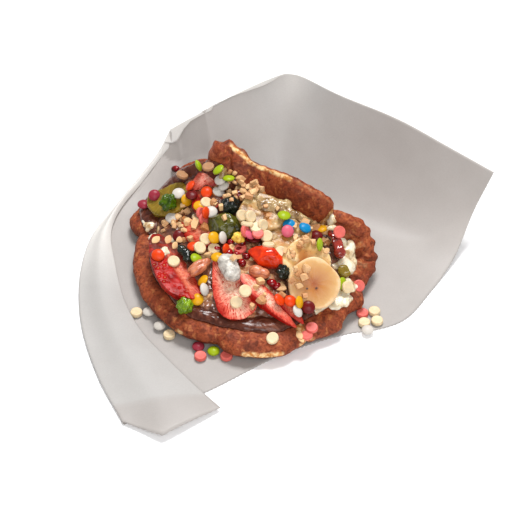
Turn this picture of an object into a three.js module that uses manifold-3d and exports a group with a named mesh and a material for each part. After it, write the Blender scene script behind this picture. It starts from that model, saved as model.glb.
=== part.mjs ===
// A waffle sandwich in its paper bag: a round waffle of five hearts folded into a pocket, spread with
// chocolate and cream, heaped with fruit, jellies, nuts and candies, and lying on the opened bag.
// Millimetres, +Z up. The origin is on the ground under the middle of the fold, and +Y points away from
// the open mouth.
import * as THREE from "three";
import { mergeVertices } from "three/addons/utils/BufferGeometryUtils.js";
import Module from "manifold-3d";

const wasm = await Module();
wasm.setup();

const { clamp, degToRad, euclideanModulo, lerp, radToDeg, smoothstep } = THREE.MathUtils;

// ---------------------------------------------------------------- driving dimensions
const GAP = 0.3; // left between two pieces that touch

const WAFFLE = {
  middle: new THREE.Vector2(3, -8), // of the flat disc: along the fold, then across it
  thickness: 13,
  rimRun: 15, // width of the sloping rim
  seam: 1.6, // thickness of the edge where the two halves of the iron met
};

// The fold: it opens wide and upright at its left end, and leans tight over the filling at its right.
const FOLD = {
  centre: new THREE.Vector2(-1, 8),
  turn: degToRad(-20), // of the fold line, seen from above
  halfLength: 50, // over which it changes
  radius: [25, 18], // at mid-thickness, left and right
  angle: [86, 116].map(degToRad), // that the back half is turned up, left and right
};

// The ten lobes of the five hearts, round from the left end of the fold by way of the front: the angle
// at which a lobe ends in a notch, the disc's radius in the lobe's middle, and its radius at that notch.
const LOBES = [
  { end: 229, reach: 71.5, notch: 69.5 },
  { end: 273, reach: 72, notch: 69.5 },
  { end: 314, reach: 76.5, notch: 69 },
  { end: 359, reach: 73.5, notch: 62.5 },
  { end: 410, reach: 71.5, notch: 60 },
  { end: 444, reach: 68.5, notch: 66.5 },
  { end: 464, reach: 65.5, notch: 68.5 },
  { end: 484, reach: 82, notch: 72 },
  { end: 520, reach: 77.5, notch: 79 },
  { end: 542, reach: 83.5, notch: 72.5 },
];
const LOBES_START = LOBES.at(-1).end - 360;
const NOTCH_WIDTH = 7; // least number of degrees from a notch to where its lobe has swung out
const NOTCH_SHARE = 0.3; // of the lobe's own degrees, on a wide lobe
const SLOW_LOBE = { index: 7, width: 9 }; // swings out slowly from its first notch, over more degrees
const BITE = { at: 341, halfWidth: 9, depth: 4 }; // a stretch of the right side that is drawn in, in degrees and mm

// Over these degrees of the disc the filling runs out to the waffle's edge.
const OVERRUN = { from: 104, to: 190, share: 0.12, fullness: 0.7 };

const SPREAD_GAP = 0.4; // between the spreads and the waffle

// The two spreads, by the part of the disc that each covers, in degrees.
const SPREAD = {
  thickness: 2.2,
  outer: 0.85, // share of the radius at which it ends on the rim, give or take its waves
  wave: 0.02,
  waves: 7, // to the whole turn
  chocolate: [114, 324],
  cream: [-36, 114],
  parting: 0.4, // degrees that each of them stops short of the other
};

const HEAP = {
  edge: 0.8, // share of the radius at which the filling meets the rim
  thinEdge: 1.2, // its thickness there
  levelling: 0.35, // radians to each side over which it evens out the waffle's lobes
  dome: 9, // its middle above the plane of that edge
  domeShape: 2.4, // exponent of the fall from the middle to the edge
  bump: 1.3, // of its uneven surface
  bumpWaves: { x: 0.31, y: 0.27, across: 0.19 }, // radians of it to the millimetre
};

const PAPER = {
  thickness: 0.4,
  bend: 0.9, // radius of the turned-over fold
  reach: 45, // width of the belt along the raised edges over which the sheet climbs
  climb: 2.3, // exponent of that climb
  relaxing: 3, // passes that round the sheet's hollows
  belly: 2.4, // that the turned-over layer rises between its fold and its free edge
  lip: 15, // that the turned-over layer's tip sticks out past the mouth
  lipAt: 0.41, // and where that tip is, from the side fold to the free edge
};

// ---------------------------------------------------------------- meshes and solids
function geometryOf(points, index) {
  const geometry = new THREE.BufferGeometry();
  geometry.setAttribute(
    "position",
    new THREE.Float32BufferAttribute(points.flatMap((p) => [p.x, p.y, p.z]), 3),
  );
  geometry.setIndex(index);
  return geometry;
}

// A closed mesh between two grids of points with the same layout, the first on the outer side.
function solidBetween(outer, inner) {
  const [rows, columns] = [outer.length, outer[0].length];
  const far = rows * columns;
  const at = (i, j) => i * columns + j;
  const index = [];
  const quad = (a, b, c, d) => index.push(a, b, c, a, c, d);
  for (let i = 0; i < rows - 1; i++)
    for (let j = 0; j < columns - 1; j++) {
      quad(at(i, j), at(i, j + 1), at(i + 1, j + 1), at(i + 1, j));
      quad(far + at(i, j), far + at(i + 1, j), far + at(i + 1, j + 1), far + at(i, j + 1));
    }
  for (let j = 0; j < columns - 1; j++) {
    quad(at(0, j), far + at(0, j), far + at(0, j + 1), at(0, j + 1));
    quad(at(rows - 1, j), at(rows - 1, j + 1), far + at(rows - 1, j + 1), far + at(rows - 1, j));
  }
  for (let i = 0; i < rows - 1; i++) {
    quad(at(i, 0), at(i + 1, 0), far + at(i + 1, 0), far + at(i, 0));
    quad(at(i, columns - 1), far + at(i, columns - 1), far + at(i + 1, columns - 1), at(i + 1, columns - 1));
  }
  return geometryOf([...outer.flat(), ...inner.flat()], index);
}

// A closed mesh between an upper and a lower set of rings round two poles: point(side, ring, turn).
function discBetween(rings, sectors, poles, point) {
  const points = [];
  const index = [];
  for (const side of [0, 1]) {
    points.push(poles[side]);
    for (let r = 0; r < rings; r++)
      for (let k = 0; k < sectors; k++) points.push(point(side, r, k));
  }
  const far = 1 + rings * sectors;
  const at = (r, k) => 1 + r * sectors + (k % sectors);
  for (let k = 0; k < sectors; k++) {
    index.push(0, at(0, k), at(0, k + 1));
    index.push(far, far + at(0, k + 1), far + at(0, k));
    for (let r = 0; r < rings - 1; r++) {
      const [p, q, s, t] = [at(r, k), at(r, k + 1), at(r + 1, k), at(r + 1, k + 1)];
      index.push(p, s, t, p, t, q);
      index.push(far + p, far + t, far + s, far + p, far + q, far + t);
    }
    const [p, q] = [at(rings - 1, k), at(rings - 1, k + 1)];
    index.push(p, far + p, far + q, p, far + q, q);
  }
  return geometryOf(points, index);
}

function toSolid(geometry) {
  const bare = geometry.clone();
  for (const name of Object.keys(bare.attributes)) if (name !== "position") bare.deleteAttribute(name);
  const merged = mergeVertices(bare, 1e-4);
  return new wasm.Manifold(
    new wasm.Mesh({
      numProp: 3,
      vertProperties: new Float32Array(merged.attributes.position.array),
      triVerts: new Uint32Array(merged.index.array),
    }),
  );
}

function toGeometry(solid) {
  const mesh = solid.getMesh();
  const geometry = new THREE.BufferGeometry();
  geometry.setAttribute("position", new THREE.BufferAttribute(new Float32Array(mesh.vertProperties), 3));
  geometry.setIndex([...mesh.triVerts]);
  return geometry;
}

function largestBody(solid) {
  const bodies = solid.decompose();
  return bodies.reduce((best, body) => (body.volume() > best.volume() ? body : best));
}

// ---------------------------------------------------------------- the folded waffle
const alongFold = new THREE.Vector2(Math.cos(FOLD.turn), Math.sin(FOLD.turn));
const acrossFold = new THREE.Vector2(-Math.sin(FOLD.turn), Math.cos(FOLD.turn));
const MID_HEIGHT = PAPER.thickness + GAP + WAFFLE.thickness / 2;
const SECTORS = 60;
const RINGS = [0.3, 0.5, 0.64, 0.76, 0.87, 0.955, 1];
const SPREAD_RINGS = RINGS.slice(0, 4);
const RIM_RING = RINGS[4];
const RIM_STEP = 0.015; // share of the radius that a spread keeps beyond its last ring

// The point that lies a along the fold, b across it and n towards the filling, in the flat waffle,
// after the back half has been turned up.
function foldPoint(a, b, n) {
  const share = smoothstep(a, -FOLD.halfLength, FOLD.halfLength);
  const radius = lerp(...FOLD.radius, share);
  const angle = lerp(...FOLD.angle, share);
  const turned = clamp(b / radius, 0, angle);
  const straight = Math.max(0, b - radius * angle);
  const across = Math.min(b, 0) + (radius - n) * Math.sin(turned) + straight * Math.cos(turned);
  const height = MID_HEIGHT + radius - (radius - n) * Math.cos(turned) + straight * Math.sin(turned);
  return new THREE.Vector3(
    FOLD.centre.x + alongFold.x * a + acrossFold.x * across,
    FOLD.centre.y + alongFold.y * a + acrossFold.y * across,
    height,
  );
}

// The flat waffle's outline, from notch to notch.
function outlineRadius(angle) {
  const degrees = euclideanModulo(radToDeg(angle) - LOBES_START, 360) + LOBES_START;
  const i = LOBES.findIndex((lobe) => degrees <= lobe.end);
  const lobe = LOBES[i];
  const before = LOBES.at(i - 1);
  const start = i === 0 ? LOBES_START : before.end;
  const [fromStart, fromEnd] = [degrees - start, lobe.end - degrees];
  const notch = fromStart < fromEnd ? before.notch : lobe.notch;
  const bitten = BITE.depth * Math.max(0, 1 - ((degrees - BITE.at) / BITE.halfWidth) ** 2);
  if (i === SLOW_LOBE.index && fromStart < fromEnd) {
    return lerp(notch, lobe.reach, Math.min(1, fromStart / SLOW_LOBE.width));
  }
  const width = Math.max(NOTCH_WIDTH, (lobe.end - start) * NOTCH_SHARE);
  return lerp(notch, lobe.reach, Math.sqrt(Math.min(1, Math.min(fromStart, fromEnd) / width))) - bitten;
}

// The folded waffle at an angle and a share of its radius, and n from its mid-thickness.
function discPoint(angle, share, n) {
  const radius = outlineRadius(angle) * share;
  return foldPoint(
    WAFFLE.middle.x + radius * Math.cos(angle),
    WAFFLE.middle.y + radius * Math.sin(angle),
    n,
  );
}

// Half the waffle's thickness at a distance from its edge: a rim that rounds off to a thin seam.
function halfThickness(inset) {
  const rise = clamp(inset / WAFFLE.rimRun, 0, 1);
  return lerp(WAFFLE.seam / 2, WAFFLE.thickness / 2, Math.sqrt(1 - (1 - rise) ** 2));
}

const turnOf = (k, sectors) => (k / sectors) * 2 * Math.PI;

// The share of the radius by which the filling reaches further out than elsewhere.
function overrun(angle) {
  const degrees = euclideanModulo(radToDeg(angle), 360);
  const along = clamp((degrees - OVERRUN.from) / (OVERRUN.to - OVERRUN.from), 0, 1);
  return OVERRUN.share * Math.sin(Math.PI * along) ** OVERRUN.fullness;
}

// The waffle, or the space that it takes up with a layer of the given thickness round it.
function waffleGeometry(layer = 0) {
  const poles = [1, -1].map((sign) => discPoint(0, 0, sign * (WAFFLE.thickness / 2 + layer)));
  return discBetween(RINGS.length, SECTORS, poles, (side, ring, k) => {
    const angle = turnOf(k, SECTORS);
    const inset = outlineRadius(angle) * (1 - RINGS[ring]);
    return discPoint(angle, RINGS[ring], (side === 0 ? 1 : -1) * (halfThickness(inset) + layer));
  });
}

// ---------------------------------------------------------------- chocolate and cream
// A layer on the waffle's inner side, over the same sectors and rings as the waffle's own surface.
function spreadGeometry([from, to], phase) {
  const step = 360 / SECTORS;
  const steps = Math.round((to - from) / step);
  const layer = (lift) =>
    Array.from({ length: steps + 1 }, (_, i) => {
      const angle = degToRad(clamp(from + i * step, from + SPREAD.parting, to - SPREAD.parting));
      const outer = SPREAD.outer + SPREAD.wave * Math.sin(SPREAD.waves * angle + phase) + overrun(angle);
      return [...SPREAD_RINGS, Math.min(RIM_RING, outer - RIM_STEP), outer].map((share) => {
        const inset = outlineRadius(angle) * (1 - share);
        return discPoint(angle, share, halfThickness(inset) + lift);
      });
    });
  return solidBetween(layer(SPREAD_GAP + SPREAD.thickness), layer(SPREAD_GAP));
}

// ---------------------------------------------------------------- the heap of small toppings
const HEAP_SECTORS = 30;
const HEAP_RINGS = [0.28, 0.54, 0.78, 1];
const HEAP_LIFT = WAFFLE.thickness / 2 + SPREAD_GAP + SPREAD.thickness + 3 * GAP;

// The heap's underside, which follows the spread and levels out the waffle's lobes.
function heapUnderside(angle, share) {
  const nearby = [-HEAP.levelling, 0, HEAP.levelling].map((shift) => outlineRadius(angle + shift));
  const level = Math.min(...nearby, nearby.reduce((sum, r) => sum + r) / nearby.length);
  const edge = HEAP.edge + overrun(angle);
  return discPoint(angle, (share * edge * level) / outlineRadius(angle), HEAP_LIFT);
}

const heapMiddle = (() => {
  const edge = Array.from({ length: HEAP_SECTORS }, (_, k) => heapUnderside(turnOf(k, HEAP_SECTORS), 1));
  return edge.reduce((sum, p) => sum.add(p), new THREE.Vector3()).divideScalar(HEAP_SECTORS);
})();

function heapTop(angle, share) {
  const point = heapMiddle.clone().lerp(heapUnderside(angle, 1), share);
  const { x, y, across } = HEAP.bumpWaves;
  const wave = Math.sin(x * point.x + 1.3) * Math.cos(y * point.y) + Math.sin(across * (point.x - point.y));
  const bump = HEAP.bump * wave * (1 - share ** 6);
  point.z += HEAP.dome * (1 - share ** HEAP.domeShape) + bump + HEAP.thinEdge;
  return point;
}

function heapGeometry() {
  const poles = [heapTop(0, 0), heapUnderside(0, 0)];
  return discBetween(HEAP_RINGS.length, HEAP_SECTORS, poles, (side, ring, k) => {
    const surface = side === 0 ? heapTop : heapUnderside;
    return surface(turnOf(k, HEAP_SECTORS), HEAP_RINGS[ring]);
  });
}

// ---------------------------------------------------------------- the opened paper bag
const curve = (...points) =>
  new THREE.CatmullRomCurve3(points.map((p) => new THREE.Vector3(...p)), false, "centripetal");

// The sheet's corners: the mouth's two ends, the peak, and the shut end's other corner.
const CORNER = {
  left: [-70, -120, 0],
  right: [141, 37, 43],
  peak: [18, 115, 57],
  shut: [-54, 95, 29],
};
const sideFold = curve(
  CORNER.left, [-86, -87, 0], [-99, -46, 0], [-103, -5, 0], [-99, 25, 0], [-90, 44, 2], [-73, 70, 10],
  [-61, 84, 20], CORNER.shut,
);
const shutEnd = curve(CORNER.shut, [-40, 97, 37], [-10, 106, 50], [8, 113.2, 54.5], CORNER.peak);
const openedSide = curve(
  CORNER.right, [116, 54, 48], [87, 73, 54], [51, 95, 56.5], [27, 112.8, 57.5], CORNER.peak,
);
const mouth = curve(
  CORNER.left, [-28, -98, 0], [16, -69, 0], [52, -54, 0], [68, -51, 0], [85, -43, 0], [103, -19, 0],
  [117, 3, 1], [130, 27, 20], CORNER.right,
);
const turnedEdge = curve(
  [-19, -110, 0], [-28, -100, 0], [-51, -72, 0], [-65, -53, 0], [-76, -29, 0], [-84, 3, 0],
  [-88, 28, 0], [-84, 46, 0], [-71, 67, 0], [-60, 81, 0], [-50.5, 92, 0],
);

const EDGE_SAMPLES = 160;
const raisedEdges = [sideFold, shutEnd, openedSide, mouth].flatMap((edge) =>
  edge.getSpacedPoints(EDGE_SAMPLES),
);

// The height to which the raised edges pull the sheet at a point in plan.
function sheetHeight(x, y) {
  const pull = (edge) => {
    const away = Math.hypot(x - edge.x, y - edge.y) / PAPER.reach;
    return edge.z * Math.max(0, 1 - away) ** PAPER.climb;
  };
  return Math.max(...raisedEdges.map(pull)) + PAPER.thickness / 2;
}

// The lower layer at a share u across it, from the side fold, and v along it, from the mouth.
function sheetPoint(u, v) {
  const blend = (axis) => {
    const sides = lerp(sideFold.getPointAt(v)[axis], openedSide.getPointAt(v)[axis], u);
    const ends = lerp(mouth.getPointAt(u)[axis], shutEnd.getPointAt(u)[axis], v);
    const corners = lerp(
      lerp(mouth.getPointAt(0)[axis], mouth.getPointAt(1)[axis], u),
      lerp(shutEnd.getPointAt(0)[axis], shutEnd.getPointAt(1)[axis], u),
      v,
    );
    return sides + ends - corners;
  };
  const [x, y] = [blend("x"), blend("y")];
  return new THREE.Vector3(x, y, sheetHeight(x, y));
}

const PAPER_ROWS = 19;
const TURNED_SHARES = [1, 0.8, 0.6, PAPER.lipAt, 0.15, 0];
const SHEET_SHARES = [0, 0.05, 0.13, 0.23, 0.34, 0.45, 0.55, 0.64, 0.72, 0.79, 0.86, 0.93, 1];

// The turned-over layer at a share f from the side fold to its free edge.
function turnedPoint(f, v) {
  const point = sideFold.getPointAt(v).lerp(turnedEdge.getPointAt(v), f);
  const toTip = f < PAPER.lipAt ? f / PAPER.lipAt : (1 - f) / (1 - PAPER.lipAt);
  const lip = PAPER.lip * Math.max(0, 1 - v * PAPER_ROWS) * toTip;
  const room = 2 * PAPER.bend + PAPER.belly * Math.sin(Math.PI * f) * smoothstep(f, 0, 0.5);
  point.y -= lip;
  point.z = sheetHeight(point.x, point.y) + room;
  return point;
}

// Evens out the lower layer's heights, except along its edges.
function relax(sheet) {
  for (let pass = 0; pass < PAPER.relaxing; pass++)
    for (let i = 1; i < sheet.length - 1; i++)
      for (let j = 1; j < sheet[i].length - 1; j++) {
        const around = sheet[i - 1][j].z + sheet[i + 1][j].z + sheet[i][j - 1].z + sheet[i][j + 1].z;
        sheet[i][j].z = (sheet[i][j].z + around / 4) / 2;
      }
}

function paperGeometry() {
  const shares = Array.from({ length: PAPER_ROWS + 1 }, (_, i) => i / PAPER_ROWS);
  const sheets = shares.map((v) => SHEET_SHARES.map((u) => sheetPoint(u, v)));
  relax(sheets);
  const rows = shares.map((v, i) => {
    const turned = TURNED_SHARES.map((f) => turnedPoint(f, v));
    const sheet = sheets[i];
    const outward = sideFold.getPointAt(v).sub(turnedEdge.getPointAt(v)).setZ(0).normalize();
    const bend = turned.at(-1).clone().addScaledVector(outward, PAPER.bend);
    bend.z -= PAPER.bend;
    return [...turned, bend, ...sheet];
  });
  const columns = rows[0].length;
  const side = (sign) =>
    rows.map((row, i) =>
      row.map((point, j) => {
        const along = rows[Math.min(i + 1, PAPER_ROWS)][j].clone().sub(rows[Math.max(i - 1, 0)][j]);
        const across = row[Math.min(j + 1, columns - 1)].clone().sub(row[Math.max(j - 1, 0)]);
        const normal = across.cross(along).normalize();
        return point.clone().addScaledVector(normal, (sign * PAPER.thickness) / 2);
      }),
    );
  return solidBetween(side(1), side(-1));
}

// ---------------------------------------------------------------- the toppings
// A piece of food between two ends: its outline lies in the plane that faces out of the heap, and it
// swells above and below that plane. Taper narrows the second end, fullness squares its section off,
// and rim is its thickness at the outline: small on a lump, nearly the whole on a slice.
const LUMP = {
  above: 3,
  below: 3,
  rim: 0.8,
  taper: 0,
  fullness: 1.6,
  face: [0, -0.4, 0.9],
  sectors: 9,
  rings: [0.66, 1],
};

function lumpGeometry(piece, grown = 0) {
  const { from, to, width, above, below, rim, taper, fullness, face, sectors, rings } = { ...LUMP, ...piece };
  const [start, end] = [new THREE.Vector3(...from), new THREE.Vector3(...to)];
  const half = start.distanceTo(end) / 2 + grown;
  const side = width / 2 + grown;
  const swell = (share, most) => {
    const edge = rim / 2 + grown;
    return edge + Math.max(0, most + grown - edge) * (1 - share ** (2 * fullness)) ** (1 / fullness);
  };
  const point = (lower, share, turn) => {
    const [ahead, aside] = [share * Math.cos(turn), share * Math.sin(turn)];
    const height = lower ? -swell(share, below) : swell(share, above);
    return new THREE.Vector3(half * ahead, side * aside * (1 - taper * Math.cos(turn)), height);
  };
  const poles = [point(false, 0, 0), point(true, 0, 0)];
  const geometry = discBetween(rings.length, sectors, poles, (lower, ring, k) =>
    point(lower === 1, rings[ring], turnOf(k, sectors)),
  );
  const along = end.clone().sub(start).normalize();
  const across = new THREE.Vector3(...face).cross(along).normalize();
  const frame = new THREE.Matrix4().makeBasis(along, across, along.clone().cross(across));
  return geometry.applyMatrix4(frame.setPosition(start.lerp(end, 0.5)));
}

// A round piece: its middle, its diameter, and how it faces.
const disc = (at, diameter, more) => {
  const { face = LUMP.face } = more;
  const along = new THREE.Vector3(face[2], 0, -face[0]).normalize().multiplyScalar(diameter / 2);
  const middle = new THREE.Vector3(...at);
  return {
    from: middle.clone().sub(along).toArray(),
    to: middle.clone().add(along).toArray(),
    width: diameter,
    ...more,
  };
};

const small = { sectors: 7 };
const berry = { above: 1.5, below: 8, taper: 0.45, fullness: 1 };
const blade = { ...berry, ...small, below: 4 };
const leftward = { taper: 0.2, face: [0.3, -0.2, 0.9] };
const rightward = { face: [0.2, -0.3, 0.9] };
const cube = { above: 4, below: 3.5, rim: 4, fullness: 3, face: [0, -0.2, 1] };
const slab = { above: 2.5, below: 2.5, rim: 4, fullness: 3 };
const slice = { above: 4, below: 4, rim: 6.6, fullness: 3, sectors: 14, rings: [0.9, 1] };
const FRUIT_RED = 0xc0392b;
const BANANA = 0xe3c48f;
const KIWI = 0x7d7a2a;
const GREEN = 0x3f7d20;
const BLACK = 0x1c1f1e;

// In the order in which they give way to each other.
const TOPPINGS = [
  ["banana_1", BANANA, disc([32, -41, 27], 30, { ...slice, face: [0.1, -0.65, 0.75] })],
  ["jelly_bar", 0x7a1a14, { ...small, from: [44, 2, 31], to: [49, -17, 24], width: 7.5, above: 3.5 }],
  ["banana_2", BANANA, disc([28, -26, 28.5], 29, { ...slice, face: [0.15, -0.5, 0.85] })],
  ["strawberry_2", FRUIT_RED, { ...berry, from: [-6, -60, 19], to: [-24, -22, 31], width: 23 }],
  ["strawberry_1", FRUIT_RED, { ...berry, ...leftward, from: [-36, -44, 19], to: [-60, 2, 24], width: 21 }],
  ["strawberry_3", FRUIT_RED, { ...berry, ...rightward, from: [-8, -37, 31], to: [22, -65, 17], width: 13 }],
  ["strawberry_4", FRUIT_RED, { ...blade, from: [12, -47, 26], to: [26, -62, 17], width: 7 }],
  ["jelly_red", 0xd8341c, { from: [-5, -20, 34], to: [17, -30, 32], width: 13, above: 4.5, below: 4 }],
  ["pebble", 0xe4e2dc, { from: [-18, -25, 35], to: [-12, -42, 31], width: 12, above: 5, below: 4 }],
  ["jelly_green", 0x2f4a1c, { from: [-28, -1, 36], to: [-6, -3, 36], width: 17, above: 4, below: 5 }],
  ["jelly_black", BLACK, disc([-15, 10, 41], 12, { above: 5, below: 4 })],
  ["peanut_1", 0xc06a4a, { ...small, from: [-38, -33, 27], to: [-26, -24, 30], width: 8, above: 4 }],
  ["peanut_2", 0xc87a58, { ...small, from: [-4, -33, 31], to: [8, -37, 30], width: 8, above: 4 }],
  ["jelly_black_2", BLACK, { ...small, from: [-44, -11, 28], to: [-38, -22, 27], width: 7, above: 3.5 }],
  ["jelly_dark_2", BLACK, { ...small, from: [14, -30, 32], to: [16, -39, 29], width: 7.5, above: 3.5 }],
  ["jelly_green_2", GREEN, disc([-40, -48, 18.5], 10, cube)],
  ["jelly_green_3", GREEN, disc([-52, 25, 30], 10, { above: 4, below: 3.5 })],
  ["kiwi_1", KIWI, { from: [-65, 36, 21], to: [-39, 31, 30], width: 24, ...slab }],
  ["kiwi_2", KIWI, disc([51, -22, 18.5], 8, { ...small, above: 2, below: 2 })],
  ["strawberry_5", FRUIT_RED, { ...berry, from: [-24, -10, 31], to: [-43, 12, 27], width: 18 }],
  ["strawberry_6", FRUIT_RED, { ...berry, from: [-24, 12, 36], to: [-37, 31, 34], width: 17 }],
  ["strawberry_7", FRUIT_RED, { ...berry, below: 5, from: [-20, 39, 45], to: [-39, 31, 35], width: 12 }],
  ["banana_3", BANANA, disc([17, -8, 34], 30, { ...slice, face: [0, -0.35, 0.93] })],
  ["banana_4", BANANA, disc([3, 3, 39], 28, { ...slice, face: [0, -0.3, 0.95] })],
  ["banana_chip", 0xd9a93a, disc([-10, -12, 36], 8, { ...small, above: 2.5, below: 2.5 })],
  ["cherry", 0x8c1020, disc([-10, 18, 42], 7.5, { ...small, above: 3.5, below: 3.5 })],
];

const SLIVER = 0.05; // steps finer than this are smoothed out of the cuts

function addToppings(heap) {
  const waffleSpace = toSolid(waffleGeometry(SPREAD_GAP + SPREAD.thickness + GAP));
  let taken = waffleSpace;
  let left = toSolid(heap);
  for (const [name, color, piece] of TOPPINGS) {
    const solid = largestBody(toSolid(lumpGeometry(piece)).subtract(taken).simplify(SLIVER));
    add(name, toGeometry(solid), color, 0.5);
    const space = toSolid(lumpGeometry(piece, GAP));
    taken = taken.add(space);
    left = left.subtract(space);
  }
  return toGeometry(largestBody(left.simplify(SLIVER)));
}

// ---------------------------------------------------------------- what has fallen beside the heap
const LENTIL = { diameter: 7, above: 1.9, below: 1.9 };
const DROP = { diameter: 7.2, above: 1.9, below: 0.5 };
const BEIGE = 0xe6cfa4;
const WHITE = 0xe9e8e4;
const PINK = 0xe0797a;
const MAGENTA = 0xb0425f;
const LIME = 0x8fc31f;

const FALLEN = [
  [LENTIL, WHITE, -59, -37],
  [DROP, BEIGE, -66, -37],
  [LENTIL, WHITE, -54, -49],
  [DROP, BEIGE, -49, -56],
  [LENTIL, MAGENTA, -31, -63],
  [DROP, PINK, -30, -70],
  [LENTIL, LIME, -23, -67],
  [DROP, PINK, -16, -70],
  [DROP, PINK, 61, -39],
  [DROP, BEIGE, 67, -37],
  [DROP, BEIGE, 69, -45],
  [DROP, BEIGE, 61, -46],
  [LENTIL, WHITE, 56, -47],
];
const SLIDE = 0.25; // the step in which a candy slides out from under the rim

function addFallen(waffle) {
  let taken = toSolid(waffle);
  FALLEN.forEach(([kind, color, x, y], i) => {
    const outward = new THREE.Vector3(x, y, 0).normalize();
    const at = new THREE.Vector3(x, y, PAPER.thickness + GAP + kind.below);
    const options = { ...kind, face: [0, 0, 1], sectors: 8, rings: [0.65, 1] };
    const lying = (grown) => lumpGeometry(disc(at.toArray(), kind.diameter, options), grown);
    while (!toSolid(lying(GAP)).intersect(taken).isEmpty()) at.addScaledVector(outward, SLIDE);
    add(`fallen_candy_${i + 1}`, lying(0), color, 0.35);
    taken = taken.add(toSolid(lying(0)));
  });
}

// ---------------------------------------------------------------- the assembly
const group = new THREE.Group();

function add(name, geometry, color, roughness = 0.6) {
  const material = new THREE.MeshStandardMaterial({ color, roughness, metalness: 0 });
  const mesh = new THREE.Mesh(geometry, material);
  mesh.name = name;
  group.add(mesh);
  return mesh;
}

add("paper_wrap", paperGeometry(), 0xd8d2cc, 0.8);
add("waffle", waffleGeometry(), 0x9a5a32, 0.7);
add("chocolate_spread", spreadGeometry(SPREAD.chocolate, 0), 0x5c3426, 0.3);
add("white_cream", spreadGeometry(SPREAD.cream, 2), 0xeae0c8, 0.4);
add("topping_mix", addToppings(heapGeometry()), 0xc9a070, 0.7);
addFallen(waffleGeometry());

export default group;
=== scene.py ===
"""The looks of a waffle sandwich: a round heart waffle folded into a pocket over spread chocolate and
cream, a heap of fruit, jellies, nuts and candies, and the opened greaseproof bag that it lies on.

Lengths are in millimetres until a piece is finished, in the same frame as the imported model.
"""

import logging
import random
from dataclasses import dataclass, field
from enum import Enum
from math import acos, atan2, copysign, cos, degrees, hypot, pi, radians, sin, sqrt
from typing import Iterable, Iterator, Sequence

import bmesh
import bpy
import numpy as np
from bmesh.types import BMEdge, BMesh, BMLayerItem, BMVert
from bpy.types import Material, Mesh, Node, NodeSocket, Object
from mathutils import Matrix, Vector, noise
from mathutils.bvhtree import BVHTree


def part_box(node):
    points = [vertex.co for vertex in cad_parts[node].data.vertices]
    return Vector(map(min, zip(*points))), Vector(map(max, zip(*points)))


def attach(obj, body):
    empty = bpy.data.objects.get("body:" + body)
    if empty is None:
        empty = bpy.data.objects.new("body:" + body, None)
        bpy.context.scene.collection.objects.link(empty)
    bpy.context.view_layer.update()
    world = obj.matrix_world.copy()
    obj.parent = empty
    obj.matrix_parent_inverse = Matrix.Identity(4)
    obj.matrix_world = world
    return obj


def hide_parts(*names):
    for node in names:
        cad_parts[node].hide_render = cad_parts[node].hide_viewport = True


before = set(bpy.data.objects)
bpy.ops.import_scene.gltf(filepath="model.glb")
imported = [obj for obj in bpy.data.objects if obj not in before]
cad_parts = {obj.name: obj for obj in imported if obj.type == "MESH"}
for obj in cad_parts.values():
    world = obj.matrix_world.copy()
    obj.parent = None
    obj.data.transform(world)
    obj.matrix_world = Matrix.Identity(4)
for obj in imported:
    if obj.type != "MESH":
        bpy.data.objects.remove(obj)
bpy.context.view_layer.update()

LOG = logging.getLogger("waffle_sandwich")
MM = 0.001
ROOT = "root"
Point = tuple[float, float, float]
Band = tuple[float, float, float]
Plan = tuple[float, float]
# A colour is a six-digit display code, or three linear parts.
Colour = str | tuple[float, float, float]
# What a node's input can be given.
Setting = Colour | float | Sequence[float] | NodeSocket


# ---------------- small tools
def link(thing: Object) -> None:
    """Puts an object in the scene."""
    bpy.context.scene.collection.objects.link(thing)


def lerp(low: float, high: float, share: float) -> float:
    """Returns the value a share of the way from low to high."""
    return low + (high - low) * share


def clamp(value: float, low: float = 0.0, high: float = 1.0) -> float:
    """Returns the value kept between low and high."""
    return max(low, min(high, value))


def smooth(value: float, low: float, high: float) -> float:
    """Returns 0 below low and 1 above high, with a smooth step between them."""
    share = clamp((value - low) / (high - low))
    return share * share * (3 - 2 * share)


def rough(point: Vector, size: float, octaves: int = 3) -> float:
    """Returns even noise from about -1 to 1 whose lumps are about size across."""
    return noise.fractal(point / size, 0.6, 2.0, octaves)


def any_way(draw: random.Random) -> Vector:
    """Returns a vector that points any way."""
    return Vector((draw.gauss(0, 1), draw.gauss(0, 1), draw.gauss(0, 1)))


def linear(colour: Colour) -> tuple[float, float, float]:
    """Returns a colour's three linear parts.

    Args:
        colour: A six-digit display code, or the parts themselves.

    Returns:
        Its red, green and blue parts.
    """
    if not isinstance(colour, str):
        return colour
    parts = [int(colour[i : i + 2], 16) / 255 for i in (0, 2, 4)]
    return tuple(p / 12.92 if p <= 0.04045 else ((p + 0.055) / 1.055) ** 2.4 for p in parts)


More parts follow.
